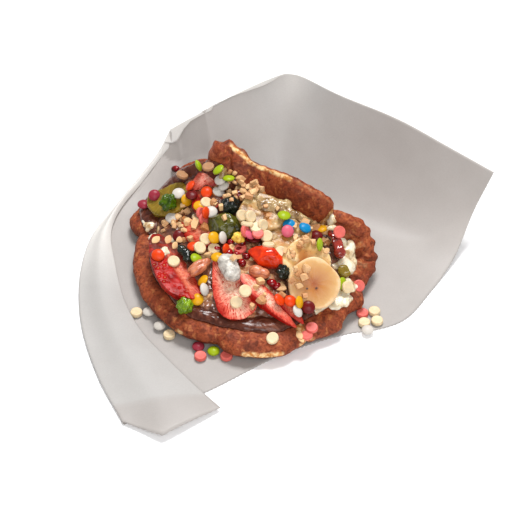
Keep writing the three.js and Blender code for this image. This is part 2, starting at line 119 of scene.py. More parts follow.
# ---------------- materials
class NodeSheet:
    """The nodes of one material, added by short calls that return the socket to link from."""

    def __init__(self, name: str) -> None:
        """Starts a material with its own shader.

        Args:
            name: The material's name.
        """
        self.material = bpy.data.materials.new(name)
        self.material.use_nodes = True
        self.tree = self.material.node_tree
        self.shader = self.tree.nodes["Principled BSDF"]

    def add(self, kind: str, settings: dict | None = None, **inputs: Setting) -> Node:
        """Adds a node.

        Args:
            kind: The node's type without its ShaderNode prefix.
            settings: The node's own properties.
            **inputs: Numbers, colours or sockets for its inputs, with _ for a space in the name.

        Returns:
            The node.
        """
        node = self.tree.nodes.new("ShaderNode" + kind)
        for key, value in (settings or {}).items():
            setattr(node, key, value)
        for key, value in inputs.items():
            self.put(node.inputs[key.replace("_", " ")], value)
        return node

    def put(self, socket: NodeSocket, value: Setting) -> None:
        """Links a socket to the input, or sets the input to a number or colour.

        Args:
            socket: The input.
            value: The number, colour or socket.
        """
        if isinstance(value, NodeSocket):
            self.tree.links.new(value, socket)
        elif socket.type == "RGBA":
            socket.default_value = (*linear(value), 1.0)
        else:
            socket.default_value = value

    def place(self) -> NodeSocket:
        """Returns the place in the object, in metres."""
        return self.add("TexCoord").outputs["Object"]

    def stored(self, name: str) -> Node:
        """Returns the node of an attribute that is stored in the mesh."""
        return self.add("Attribute", {"attribute_name": name})

    def seat(self) -> tuple[NodeSocket, NodeSocket, NodeSocket]:
        """Returns the place on the piece itself, as shares of its half sizes."""
        axes = self.add("SeparateXYZ", Vector=self.stored("seat").outputs["Vector"]).outputs
        return axes["X"], axes["Y"], axes["Z"]

    def grain(self, size: float, vector: NodeSocket | None = None, detail: float = 4,
              distortion: float = 0) -> NodeSocket:
        """Returns noise from 0 to 1 whose lumps are about size millimetres across.

        Args:
            size: The width of the lumps.
            vector: Where the noise is looked up, if not at the place in the object.
            detail: How many finer layers it has.
            distortion: How far the lumps are pulled about.

        Returns:
            The noise.
        """
        where = self.place() if vector is None else vector
        per_unit = 1 / (size * MM) if vector is None else 1 / size
        return self.add(
            "TexNoise", Vector=where, Scale=per_unit, Detail=float(detail), Distortion=float(distortion)
        ).outputs["Fac"]

    def ramp(self, factor: NodeSocket, stops: Sequence[tuple[float, Colour]]) -> NodeSocket:
        """Returns the colour that the stops give for a factor.

        Args:
            factor: The factor.
            stops: Each place on the ramp with its colour.

        Returns:
            The colour.
        """
        node = self.add("ValToRGB", Fac=factor)
        elements = node.color_ramp.elements
        while len(elements) < len(stops):
            elements.new(0.5)
        for element, (at, colour) in zip(elements, stops):
            element.position = at
            element.color = (*linear(colour), 1.0)
        return node.outputs["Color"]

    def span(self, factor: NodeSocket, low: float, high: float, to_low: float = 0,
             to_high: float = 1) -> NodeSocket:
        """Returns the factor stretched from low..high to to_low..to_high, and kept inside it.

        Args:
            factor: The factor.
            low: Where it starts to rise.
            high: Where it is full.
            to_low: What low becomes.
            to_high: What high becomes.

        Returns:
            The new factor.
        """
        return self.add(
            "MapRange",
            {"interpolation_type": "SMOOTHSTEP"},
            Value=factor,
            From_Min=low,
            From_Max=high,
            To_Min=to_low,
            To_Max=to_high,
        ).outputs["Result"]

    def blend(self, factor: Setting, below: Setting, above: Setting, way: str = "MIX") -> NodeSocket:
        """Returns two colours blended by a factor.

        Args:
            factor: The share of the upper colour.
            below: The lower colour.
            above: The upper colour.
            way: The kind of blend.

        Returns:
            The colour.
        """
        node = self.add("Mix", {"data_type": "RGBA", "blend_type": way})
        for index, value in ((0, factor), (6, below), (7, above)):
            self.put(node.inputs[index], value)
        return node.outputs[2]

    def sum(self, way: str, first: Setting, second: Setting = 0.0) -> NodeSocket:
        """Returns the result of a calculation with one or two numbers.

        Args:
            way: The calculation.
            first: The first number.
            second: The second number.

        Returns:
            The result.
        """
        node = self.add("Math", {"operation": way})
        self.put(node.inputs[0], first)
        self.put(node.inputs[1], second)
        return node.outputs[0]

    def plus(self, first: Setting, second: Setting) -> NodeSocket:
        """Returns one number added to another."""
        return self.sum("ADD", first, second)

    def times(self, first: Setting, second: Setting) -> NodeSocket:
        """Returns one number multiplied by another."""
        return self.sum("MULTIPLY", first, second)

    def relief(self, height: NodeSocket, depth: float, strength: float = 1.0,
               over: NodeSocket | None = None) -> NodeSocket:
        """Returns the normal of a surface whose height goes up to depth millimetres.

        Args:
            height: The height, from 0 to 1.
            depth: How many millimetres 1 stands for.
            strength: How much of it shows.
            over: The normal that it is laid over.

        Returns:
            The normal.
        """
        node = self.add("Bump", Height=height, Strength=strength, Distance=depth * MM)
        if over is not None:
            self.put(node.inputs["Normal"], over)
        return node.outputs["Normal"]

    def shade(self, colour: Setting, soft: Sequence[float] = (), **inputs: Setting) -> Material:
        """Sets the shader's inputs.

        Args:
            colour: The surface's colour.
            soft: How much light goes in under the surface, and how many millimetres of red, green and blue.
            **inputs: Numbers, colours or sockets, with _ for a space in the input's name.

        Returns:
            The finished material.
        """
        inputs["Base_Color"] = colour
        if soft:
            inputs |= {"Subsurface_Weight": soft[0], "Subsurface_Radius": [part * MM for part in soft[1:]],
                       "Subsurface_Scale": 1.0}
        for key, value in inputs.items():
            self.put(self.shader.inputs[key.replace("_", " ")], value)
        return self.material


@dataclass(frozen=True)
class Finish:
    """A surface finish, made into a material once and then shared."""

    name: str

    def material(self) -> Material:
        """Returns the finish's material."""
        return bpy.data.materials.get(self.name) or self.mixed(NodeSheet(self.name))

    def mixed(self, sheet: NodeSheet) -> Material:
        """Returns the material that the finish mixes on an empty sheet.

        Args:
            sheet: The empty sheet.

        Returns:
            The material.
        """
        raise NotImplementedError


@dataclass(frozen=True)
class BakedCrust(Finish):
    """Waffle crust: brown, blotched and freckled, golden on its thin flash, pale where it broke, with painted
    shade in its pockets and creases and painted highlights on its crumpled ridges.
    """

    dark: Colour = "703420"
    brown: Colour = "873c20"
    golden: Colour = "c07a3c"
    pale: Colour = "edc992"

    def mixed(self, sheet: NodeSheet) -> Material:
        """Returns the crust's material."""
        blotches = sheet.grain(14, detail=6, distortion=0.7)
        mottle = sheet.grain(3.4, detail=4, distortion=0.6)
        freckles = sheet.grain(1.3, detail=6)
        colour = sheet.ramp(blotches, [(0.34, self.dark), (0.46, self.brown), (0.62, "9c4c2a")])
        colour = sheet.blend(sheet.span(mottle, 0.54, 0.7, 0, 0.7), colour, "bd7443")
        colour = sheet.blend(sheet.span(mottle, 0.46, 0.34, 0, 0.7), colour, "5a2614")
        fine = sheet.ramp(freckles, [(0.36, "8a5c48"), (0.55, "ffffff")])
        colour = sheet.blend(0.5, colour, fine, "MULTIPLY")
        # Painted shade: darker in the outer side's pockets and in the inner side's creases.
        pocket = sheet.stored("pocket").outputs["Fac"]
        colour = sheet.blend(sheet.times(pocket, 0.55), colour, self.dark)
        # Golden to pale: the thin flash, the cracks' broken crumbs, and a painted highlight on crumpled
        # ridges.
        flash = sheet.stored("flash").outputs["Fac"]
        edge = sheet.ramp(sheet.grain(2.2, detail=4), [(0.4, self.golden), (0.58, self.pale)])
        colour = sheet.blend(sheet.span(flash, 0.2, 0.8), colour, edge)
        normal = sheet.relief(sheet.grain(0.7, detail=6), 0.3, 0.7)
        normal = sheet.relief(sheet.grain(4.0, detail=5), 0.8, 0.6, normal)
        return sheet.shade(colour, Roughness=sheet.span(freckles, 0.3, 0.7, 0.7, 0.52), Normal=normal,
                           Specular_IOR_Level=0.22)


@dataclass(frozen=True)
class ChocolateSauce(Finish):
    """Melted chocolate: glossy brown with paler streaks."""

    dark: Colour = "441f15"
    light: Colour = "7a4834"

    def mixed(self, sheet: NodeSheet) -> Material:
        """Returns the sauce's material."""
        streaks = sheet.grain(9, detail=3, distortion=2.2)
        colour = sheet.ramp(streaks, [(0.36, self.dark), (0.55, "582c1e"), (0.72, self.light)])
        normal = sheet.relief(sheet.grain(8, detail=1, distortion=1.6), 1.2, 0.5)
        return sheet.shade(colour, Roughness=sheet.span(streaks, 0.4, 0.7, 0.16, 0.34), Normal=normal,
                           Specular_IOR_Level=0.3)


@dataclass(frozen=True)
class SoftCream(Finish):
    """Cream with a few darker stains."""

    stain: Colour = "a88458"
    dull: Colour = "d2c2a2"
    clean: Colour = "ece4d0"

    def mixed(self, sheet: NodeSheet) -> Material:
        """Returns the cream's material."""
        stains = sheet.grain(7, detail=4, distortion=1.0)
        colour = sheet.ramp(stains, [(0.34, self.stain), (0.46, self.dull), (0.66, self.clean)])
        normal = sheet.relief(sheet.grain(3.4, detail=2, distortion=1.6), 0.5, 0.5)
        return sheet.shade(colour, (0.25, 2, 1.4, 0.8), Roughness=0.22, Normal=normal)


@dataclass(frozen=True)
class StrawberryFlesh(Finish):
    """Strawberry: the cut face pale at the heart with fine fibres, the skin red with sunken seeds."""

    heart: Colour = "d98a6c"
    flesh: Colour = "c04430"
    rim: Colour = "9c1410"
    smear: float = 0.0
    # The share across the piece beyond which the skin wraps over onto the upper side.
    wrap: float = 2.0

    def cut_face(self, sheet: NodeSheet, along: NodeSocket,
                 across: NodeSocket) -> tuple[NodeSocket, NodeSocket]:
        """Mixes the cut face.

        Args:
            sheet: The material's nodes.
            along: The place along the fruit.
            across: The place across it.

        Returns:
            The face's colour and its fibres.
        """
        shifted = sheet.plus(along, 0.25)
        radius = sheet.sum("SQRT", sheet.plus(sheet.times(sheet.sum("POWER", shifted, 2), 0.45),
                                              sheet.sum("POWER", across, 2)))
        turn = sheet.sum("ARCTAN2", across, shifted)
        rays = sheet.add("CombineXYZ", X=sheet.times(turn, 2.4), Y=sheet.times(radius, 0.6))
        fibres = sheet.grain(0.12, rays.outputs["Vector"], detail=3)
        patches = sheet.grain(5, detail=3)
        reach = sheet.plus(radius, sheet.times(sheet.sum("SUBTRACT", patches, 0.5), 0.5))
        cut = sheet.ramp(reach, [(0.15, self.heart), (0.66, self.flesh), (0.92, self.rim)])
        streaks = sheet.ramp(fibres, [(0.42, "ffffff"), (0.58, "c84838")])
        broken = sheet.span(sheet.grain(1.6, detail=3), 0.36, 0.6, 0.25, 1)
        return sheet.blend(broken, cut, streaks, "MULTIPLY"), fibres

    @staticmethod
    def skin(sheet: NodeSheet) -> tuple[NodeSocket, NodeSocket]:
        """Returns the skin's colour, and how far each place is from a seed's pit.

        Args:
            sheet: The material's nodes.

        Returns:
            The colour, and 0 in a pit and 1 away from it.
        """
        seeds = sheet.add("TexVoronoi", {"feature": "F1"}, Vector=sheet.place(), Scale=1 / (3.1 * MM),
                          Randomness=0.45).outputs["Distance"]
        flesh = sheet.ramp(sheet.grain(6, detail=3), [(0.35, "7c0a08"), (0.6, "ac140c")])
        colour = sheet.blend(sheet.span(seeds, 0.1, 0.17, 0.8, 0), flesh, "9c6c28")
        return colour, sheet.span(seeds, 0.1, 0.5, 0, 1)

    def mixed(self, sheet: NodeSheet) -> Material:
        """Returns the fruit's material."""
        along, across, depth = sheet.seat()
        cut, fibres = self.cut_face(sheet, along, across)
        skin, pit = self.skin(sheet)
        skinned = sheet.sum("MAXIMUM", sheet.span(depth, 0.02, -0.06),
                            sheet.span(across, self.wrap, self.wrap + 0.25))
        colour = sheet.blend(skinned, cut, skin)
        if self.smear:
            stain = sheet.span(sheet.grain(7, detail=4, distortion=1.0), 0.62 - 0.4 * self.smear, 0.6)
            stain = sheet.times(stain, sheet.span(along, -0.1, 0.4))
            colour = sheet.blend(sheet.times(stain, 0.82), colour, "54281e")
        height = sheet.plus(sheet.times(fibres, 0.25), sheet.times(pit, skinned))
        return sheet.shade(colour, (0.15, 2, 0.6, 0.4), Roughness=0.34,
                           Normal=sheet.relief(height, 0.7, 0.7), Specular_IOR_Level=0.16)


@dataclass(frozen=True)
class BananaFlesh(Finish):
    """Banana: a tan, slightly clear face with a pale rim, three seams and a few dark seeds."""

    glaze: float = 0.0
    sauce: tuple[Colour, Colour, Colour] = ("7c5728", "9e7a48", "c0a26c")
    # The dark seeds near the middle: their place as shares of the radius, and the width of their stain.
    pips: tuple[Point, ...] = ((-0.25, -0.2, 0.02), (0.1, -0.16, 0.06))

    def mixed(self, sheet: NodeSheet) -> Material:
        """Returns the fruit's material."""
        across, up, _ = sheet.seat()
        radius = sheet.sum("SQRT", sheet.plus(sheet.sum("POWER", across, 2), sheet.sum("POWER", up, 2)))
        turn = sheet.sum("ARCTAN2", up, across)
        clouds = sheet.grain(6, detail=4, distortion=0.5)
        reach = sheet.plus(radius, sheet.times(sheet.sum("SUBTRACT", clouds, 0.5), 0.35))
        colour = sheet.ramp(reach, [(0.05, "984e1c"), (0.25, "ac6c34"), (0.55, "ba8244"),
                                    (0.82, "c89a5c"), (0.95, "dcbc90")])
        seams = sheet.sum("ABSOLUTE", sheet.sum("SINE", sheet.times(turn, 1.5)))
        seam = sheet.times(sheet.span(seams, 0.1, 0.0), sheet.span(radius, 0.34, 0.2))
        colour = sheet.blend(sheet.times(seam, 0.45), colour, "8c4c24")
        face = sheet.add("CombineXYZ", X=across, Y=up).outputs["Vector"]
        for x, y, halo in self.pips:
            away = sheet.add("VectorMath", {"operation": "DISTANCE"})
            sheet.put(away.inputs[0], face)
            away.inputs[1].default_value = (x, y, 0.0)
            spread = sheet.plus(away.outputs["Value"], sheet.times(sheet.grain(1.2), 0.06))
            colour = sheet.blend(sheet.span(spread, 0.03 + halo, 0.07 + halo, 0.75, 0), colour, "94501e")
            colour = sheet.blend(sheet.span(spread, 0.055, 0.085, 1, 0), colour, "3a1c10")
        spokes = sheet.add("CombineXYZ", X=sheet.times(turn, 5), Y=radius)
        height = sheet.plus(sheet.grain(0.9, spokes.outputs["Vector"], detail=3), sheet.grain(1.5))
        normal = sheet.relief(height, 0.25, 0.5)
        if self.glaze:
            runs = sheet.grain(8, detail=1, distortion=1.2)
            sauce = sheet.ramp(runs, [(0.35, self.sauce[0]), (0.5, self.sauce[1]), (0.68, self.sauce[2])])
            colour = sheet.blend(sheet.span(sheet.grain(9, detail=2), 0.3, 0.5, 0, self.glaze), colour, sauce)
            specks = sheet.span(sheet.grain(1.6, detail=2), 0.64, 0.7, 0, 0.7)
            colour = sheet.blend(specks, colour, "7c4c24")
            normal = sheet.relief(runs, 0.6, 0.5, normal)
        return sheet.shade(colour, (0.2, 3, 1.8, 0.8), Roughness=0.3, Normal=normal,
                           Coat_Weight=0.1, Coat_Roughness=0.15, Specular_IOR_Level=0.25)


@dataclass(frozen=True)
class KiwiFlesh(Finish):
    """Kiwi: olive flesh with paler rays."""

    def mixed(self, sheet: NodeSheet) -> Material:
        """Returns the fruit's material."""
        across, up, _ = sheet.seat()
        turn = sheet.sum("ARCTAN2", up, across)
        rays = sheet.grain(0.25, sheet.add("CombineXYZ", X=sheet.times(turn, 2)).outputs["Vector"])
        colour = sheet.ramp(sheet.grain(8, detail=3), [(0.3, "64540c"), (0.6, "8a6e20")])
        colour = sheet.blend(sheet.span(rays, 0.5, 0.65, 0, 0.35), colour, "ac944a")
        return sheet.shade(colour, (0.3, 1.5, 2, 0.6), Roughness=0.28,
                           Normal=sheet.relief(sheet.grain(1.2), 0.3, 0.5), Coat_Weight=0.1,
                           Coat_Roughness=0.15, Specular_IOR_Level=0.25)


@dataclass(frozen=True)
class Jelly(Finish):
    """A glossy, half-clear jelly of one colour that is darker where it is thick."""

    thin: Colour = "f0553a"
    thick: Colour = "c81f12"
    depth: float = 3.0
    gloss: float = 0.4

    def mixed(self, sheet: NodeSheet) -> Material:
        """Returns the jelly's material."""
        clouds = sheet.grain(6, detail=3, distortion=0.8)
        colour = sheet.ramp(clouds, [(0.32, self.thick), (0.68, self.thin)])
        normal = sheet.relief(sheet.grain(3.2, detail=1, distortion=0.8), 0.35, 0.4)
        depths = [max(0.25, part) * self.depth for part in linear(self.thin)]
        return sheet.shade(colour, (0.3, *depths), Roughness=0.14, Normal=normal,
                           Specular_IOR_Level=self.gloss)


@dataclass(frozen=True)
class CandyShell(Finish):
    """A thin, even sugar shell with faint mottling."""

    colour: Colour = "ffffff"
    shine: float = 0.3

    def mixed(self, sheet: NodeSheet) -> Material:
        """Returns the shell's material."""
        mottle = sheet.grain(1.8, detail=4)
        faded = tuple(lerp(part, 0.8, 0.02) for part in linear(self.colour))
        colour = sheet.ramp(mottle, [(0.35, self.colour), (0.75, faded)])
        normal = sheet.relief(sheet.grain(0.6, detail=3), 0.06, 0.5)
        return sheet.shade(colour, Roughness=self.shine, Normal=normal, Specular_IOR_Level=0.16)


@dataclass(frozen=True)
class PressedDrop(Finish):
    """A drop of white or pink couverture, smooth and faintly bloomed."""

    colour: Colour = "f0dcb4"

    def mixed(self, sheet: NodeSheet) -> Material:
        """Returns the drop's material."""
        bloom = sheet.grain(2.4, detail=4)
        darker = tuple(part * 0.86 for part in linear(self.colour))
        colour = sheet.ramp(bloom, [(0.3, darker), (0.62, self.colour)])
        return sheet.shade(colour, (0.3, 1.2, 0.9, 0.6), Roughness=0.38,
                           Normal=sheet.relief(sheet.grain(0.9, detail=4), 0.1, 0.5), Specular_IOR_Level=0.22)


@dataclass(frozen=True)
class ChoppedNut(Finish):
    """Roasted nut, each bit in its own shade between cream and brown."""

    def mixed(self, sheet: NodeSheet) -> Material:
        """Returns the nut's material."""
        tint = sheet.stored("tint").outputs["Fac"]
        shade = sheet.plus(sheet.times(tint, 0.8), sheet.times(sheet.grain(1.1), 0.35))
        colour = sheet.ramp(shade, [(0.12, "8c4c26"), (0.3, "ac7040"), (0.55, "c8966a"),
                                    (0.9, "dcb484")])
        return sheet.shade(colour, (0.15, 0.8, 0.6, 0.4), Roughness=0.5,
                           Normal=sheet.relief(sheet.grain(0.5, detail=3), 0.12, 0.6), Specular_IOR_Level=0.2)


@dataclass(frozen=True)
class HeapGround(Finish):
    """What lies between the toppings: nut crumbs caught in chocolate."""

    def mixed(self, sheet: NodeSheet) -> Material:
        """Returns the ground's material."""
        cells = sheet.add("TexVoronoi", {"feature": "F1"}, Vector=sheet.place(), Scale=1 / (2.4 * MM))
        tone = sheet.add("SeparateColor", Color=cells.outputs["Color"]).outputs["Red"]
        nuts = sheet.ramp(tone, [(0.1, "a06038"), (0.45, "c08c5c"), (0.9, "d8b484")])
        sauce = sheet.ramp(sheet.grain(4, detail=3), [(0.35, "4e2a20"), (0.65, "7f4f3a")])
        wet = sheet.span(sheet.grain(11, detail=4, distortion=0.8), 0.34, 0.46)
        colour = sheet.blend(wet, nuts, sauce)
        height = sheet.sum("SUBTRACT", 1.0, cells.outputs["Distance"])
        return sheet.shade(colour, Roughness=sheet.span(wet, 0, 1, 0.55, 0.25),
                           Normal=sheet.relief(height, 1.0, 0.8))


@dataclass(frozen=True)
class RoastedPeanut(Finish):
    """A whole skinned nut, pinkish tan with darker veins along it."""

    def mixed(self, sheet: NodeSheet) -> Material:
        """Returns the nut's material."""
        seat = sheet.stored("seat").outputs["Vector"]
        long_grain = sheet.add("Mapping", Vector=seat, Scale=(0.7, 4.0, 4.0)).outputs["Vector"]
        veins = sheet.grain(0.6, long_grain, detail=4)
        colour = sheet.ramp(veins, [(0.32, "8c4026"), (0.5, "bc6c48"), (0.72, "d48e66")])
        return sheet.shade(colour, Roughness=0.36, Normal=sheet.relief(veins, 0.3, 0.6),
                           Coat_Weight=0.15, Coat_Roughness=0.2)


@dataclass(frozen=True)
class SugarRock(Finish):
    """A white sugared pebble, greyed in its dents by painted shade."""

    bright: Colour = "cac4ba"
    # The colour of the painted shade in the dents.
    dull: Colour = "a49e96"

    def mixed(self, sheet: NodeSheet) -> Material:
        """Returns the sugar's material."""
        dents = sheet.grain(2.6, detail=4)
        # Painted shade: the noise that dents the surface also greys it where it is low.
        colour = sheet.ramp(dents, [(0.34, self.dull), (0.55, self.bright)])
        return sheet.shade(colour, (0.2, 1, 1, 1), Roughness=0.4,
                           Normal=sheet.relief(dents, 0.3, 0.6))


@dataclass(frozen=True)
class GreaseproofPaper(Finish):
    """Thin white greaseproof paper: faint fibres, a soft sheen, and some light let through."""

    # The single layer's warm grey is partly the paper's own tone, partly painted light bounced from the
    # waffle.
    single: Colour = (0.6, 0.565, 0.54)
    double: Colour = (0.66, 0.64, 0.62)
    # The folded tone, for the strip over the shut end, is also reached by painted light on the margin's band
    # and near the peak.
    folded: Colour = (0.92, 0.90, 0.87)
    # The darkest tone, for the painted shade of the darker facets.
    facet_shade: Colour = (0.42, 0.385, 0.36)
    let_through: float = 0.42

    def mixed(self, sheet: NodeSheet) -> Material:
        """Returns the paper's material."""
        fibres = sheet.grain(0.9, detail=5)
        clouds = sheet.grain(18, detail=3)
        shade = sheet.plus(sheet.times(fibres, 0.5), sheet.times(clouds, 0.5))
        layers = sheet.times(sheet.plus(sheet.stored("layers").outputs["Fac"], 1.0), 1 / 3)
        tone = sheet.ramp(layers, [(0.0, self.facet_shade), (1 / 3, self.single), (2 / 3, self.double),
                                   (1.0, self.folded)])
        colour = sheet.blend(1.0, tone, sheet.ramp(shade, [(0.34, (0.94, 0.935, 0.93)), (0.62, (1, 1, 1))]),
                             "MULTIPLY")
        normal = sheet.relief(sheet.grain(0.7, detail=4), 0.05, 0.35)
        normal = sheet.relief(sheet.grain(24, detail=3, distortion=0.6), 0.9, 0.25, normal)
        material = sheet.shade(colour, Roughness=0.45, Normal=normal, Specular_IOR_Level=0.35)
        glow = sheet.add("BsdfTranslucent", Color=colour, Normal=normal)
        mixed = sheet.add("MixShader", Fac=self.let_through)
        sheet.put(mixed.inputs[1], sheet.shader.outputs[0])
        sheet.put(mixed.inputs[2], glow.outputs[0])
        sheet.put(sheet.tree.nodes["Material Output"].inputs["Surface"], mixed.outputs[0])
        return material


@dataclass(frozen=True)
class StudioFloor(Finish):
    """The plain pale floor."""

    def mixed(self, sheet: NodeSheet) -> Material:
        """Returns the floor's material."""
        colour = sheet.ramp(sheet.grain(300), [(0.3, (0.94, 0.94, 0.95)), (0.7, (0.95, 0.95, 0.96))])
        return sheet.shade(colour, Roughness=0.8, Specular_IOR_Level=0.1)


CRUST = BakedCrust("baked_crust")
CHOCOLATE = ChocolateSauce("chocolate_sauce")
CREAM = SoftCream("soft_cream")
BERRY = StrawberryFlesh("strawberry_flesh")
PALE_BERRY = StrawberryFlesh("pale_strawberry_flesh", "f2d4b8", "d8604c", "a01a12")
RIPE_BERRY = StrawberryFlesh("ripe_strawberry_flesh", "e8a894", "d4705c", "b03a30")
DIPPED_BERRY = StrawberryFlesh("dipped_strawberry_flesh", "dc8464", "aa2012", "840a06", 0.6, -0.05)
BANANA = BananaFlesh("banana_flesh")
GLAZED_BANANA = BananaFlesh("glazed_banana_flesh", 1.0)
CREAMED_BANANA = BananaFlesh("creamed_banana_flesh", 1.0, ("bc9458", "d2ac76", "e2c898"))
KIWI = KiwiFlesh("kiwi_flesh")
RED_JELLY = Jelly("red_jelly", "e43c08", "b01c04", 4.0)
WINE_JELLY = Jelly("wine_jelly", "982410", "58100a", 0.8, 1.0)
GARNET_JELLY = Jelly("garnet_jelly", "9c0c14", "440408", 1.5)
MOSS_JELLY = Jelly("moss_jelly", "5c5a1c", "20240a", 1.2, 0.25)
LEAF_JELLY = Jelly("leaf_jelly", "86a41c", "2c4a06", 1.5)
FERN_JELLY = Jelly("fern_jelly", "4e6a08", "263c04", 1.5, 0.25)
# Cream made darker for the dabs at the strip's foot: partly stain, partly painted shade.
STAINED_AND_SHADED_CREAM = SoftCream("khaki_cream_stained_and_shaded", "6c4c2c", "8c6c44", "b49a6e")
NIGHT_JELLY = Jelly("night_jelly", "23291f", "0b0d0c", 1.0)
NUT = ChoppedNut("chopped_nut")
GROUND = HeapGround("heap_ground")
PEANUT = RoastedPeanut("roasted_peanut")
SUGAR = SugarRock("sugar_rock")
CHIP = SugarRock("banana_chip_sugar", "efcb52", "c08a30")
PAPER = GreaseproofPaper("greaseproof_paper")


class Shell(Enum):
    """The colours of the sugar-shelled lentils."""

    WHITE = CandyShell("white_shell", "c6bfb6")
    YELLOW = CandyShell("yellow_shell", "d09600")
    ORANGE = CandyShell("orange_shell", "d03a00")
    LIME = CandyShell("lime_shell", "90a406")
    BLUE = CandyShell("blue_shell", "0078ae")
    MAGENTA = CandyShell("magenta_shell", "8a2434")
    ROSE = CandyShell("rose_shell", "ca5a6e")
    MAROON = CandyShell("maroon_shell", "600808")


class Couverture(Enum):
    """The colours of the flat pressed drops."""

    CREAM = PressedDrop("cream_drop", "dcc6a0")
    PINK = PressedDrop("pink_drop", "d8685e")
    # Cream drops browned partly by a smear of chocolate and partly as painted shade.
    SMEARED_AND_SHADED = PressedDrop("chocolate_smeared_and_shaded_drop", "a87c58")


# ---------------- pieces
def kept(bm: BMesh, name: str) -> Mesh:
    """Returns a shape, which is used up, as a mesh.

    Args:
        bm: The shape.
        name: The mesh's name.

    Returns:
        The mesh.
    """
    mesh = bpy.data.meshes.new(name)
    bm.to_mesh(mesh)
    bm.free()
    return mesh


def finished(
    bm: BMesh,
    name: str,
    finishes: Sequence[Finish],
    replaced: Sequence[str] = (),
    crease: float | None = None,
) -> Object:
    """Turns a bmesh in millimetres into a finished piece that rides on the food's one body.

    Args:
        bm: The shape, which is used up.
        name: The piece's name.
        finishes: One finish for each material index in the shape.
        replaced: The CAD nodes that the piece stands for.
        crease: The angle in degrees past which an edge stays sharp, or None where all is smooth.

    Returns:
        The piece's object.
    """
    bmesh.ops.scale(bm, vec=(MM, MM, MM), verts=bm.verts)
    mesh = kept(bm, name)
    for finish in finishes:
        mesh.materials.append(finish.material())
    mesh.shade_smooth()
    if crease is not None:
        mesh.set_sharp_from_angle(angle=radians(crease))
    piece = bpy.data.objects.new(name, mesh)
    link(piece)
    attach(piece, ROOT)
    if replaced:
        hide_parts(*replaced)
    LOG.info("%s: %d faces", name, len(mesh.polygons))
    return piece


def evaluated(bm: BMesh, kind: str, **settings) -> BMesh:
    """Returns the shape after a modifier.

    Args:
        bm: The shape, which is used up.
        kind: The modifier's type.
        **settings: The modifier's properties.

    Returns:
        The new shape.
    """
    mesh = kept(bm, "being_shaped")
    holder = bpy.data.objects.new("being_shaped", mesh)
    link(holder)
    modifier = holder.modifiers.new(kind.lower(), kind)
    for key, value in settings.items():
        setattr(modifier, key, value)
    shaped = holder.evaluated_get(bpy.context.evaluated_depsgraph_get())
    result = bmesh.new()
    result.from_mesh(shaped.data)
    bpy.data.objects.remove(holder)
    bpy.data.meshes.remove(mesh)
    return result


def fused(lumps: Iterable[tuple[Point, Point]], grain: float, rounds: int = 3) -> BMesh:
    """Melts lumps together into one body.

    Args:
        lumps: The middle and the three half sizes of each.
        grain: The size of the cells in which they melt.
        rounds: How often the result is smoothed.

    Returns:
        The body.
    """
    bm = bmesh.new()
    for middle, half in lumps:
        place = Matrix.Translation(middle) @ Matrix.Diagonal((*half, 1))
        bmesh.ops.create_icosphere(bm, subdivisions=3, radius=1, matrix=place)
    return melted(bm, grain, rounds)


def melted(bm: BMesh, grain: float, rounds: int) -> BMesh:
    """Returns a closed shape as one even skin.

    Args:
        bm: The shape, which is used up.
        grain: The size of the skin's cells.
        rounds: How often the skin is smoothed.

    Returns:
        The skin.
    """
    bm = evaluated(bm, "REMESH", mode="VOXEL", voxel_size=grain)
    for _ in range(rounds):
        bmesh.ops.smooth_vert(bm, verts=bm.verts, factor=0.5, use_axis_x=True, use_axis_y=True,
                              use_axis_z=True)
    return bm


def sliced(bm: BMesh, place: Vector, way: Vector) -> None:
    """Cuts off what lies beyond a plane and closes the cut.

    Args:
        bm: The shape.
        place: A point of the plane.
        way: The way that the plane faces.
    """
    cut = bmesh.ops.bisect_plane(bm, geom=bm.verts[:] + bm.edges[:] + bm.faces[:], plane_co=place,
                                 plane_no=way, clear_outer=True)
    rim = [g for g in cut["geom_cut"] if isinstance(g, BMEdge)]
    bmesh.ops.holes_fill(bm, edges=rim, sides=0)


def bevelled(bm: BMesh, edges: list[BMEdge], offset: float, segments: int) -> None:
    """Rounds edges off."""
    bmesh.ops.bevel(bm, geom=edges, offset=offset, segments=segments, profile=0.5, affect="EDGES",
                    material=-1)


def rims_of(bm: BMesh) -> list[BMEdge]:
    """Returns the level edges of an upright round slice."""
    return [e for e in bm.edges if abs(e.verts[0].co.z - e.verts[1].co.z) < 0.01]


def discs(bm: BMesh) -> Iterator[tuple[BMVert, float, float, bool]]:
    """Reads a ball as two discs that meet at its equator.

    Args:
        bm: The ball.

    Yields:
        Each point, its direction, its share of the way from its disc's middle to the rim, and whether it is
        on the upper disc.
    """
    for vert in bm.verts:
        from_pole = acos(clamp(vert.co.z, -1, 1)) / pi
        yield vert, atan2(vert.co.y, vert.co.x), 1 - abs(1 - 2 * from_pole), from_pole <= 0.5


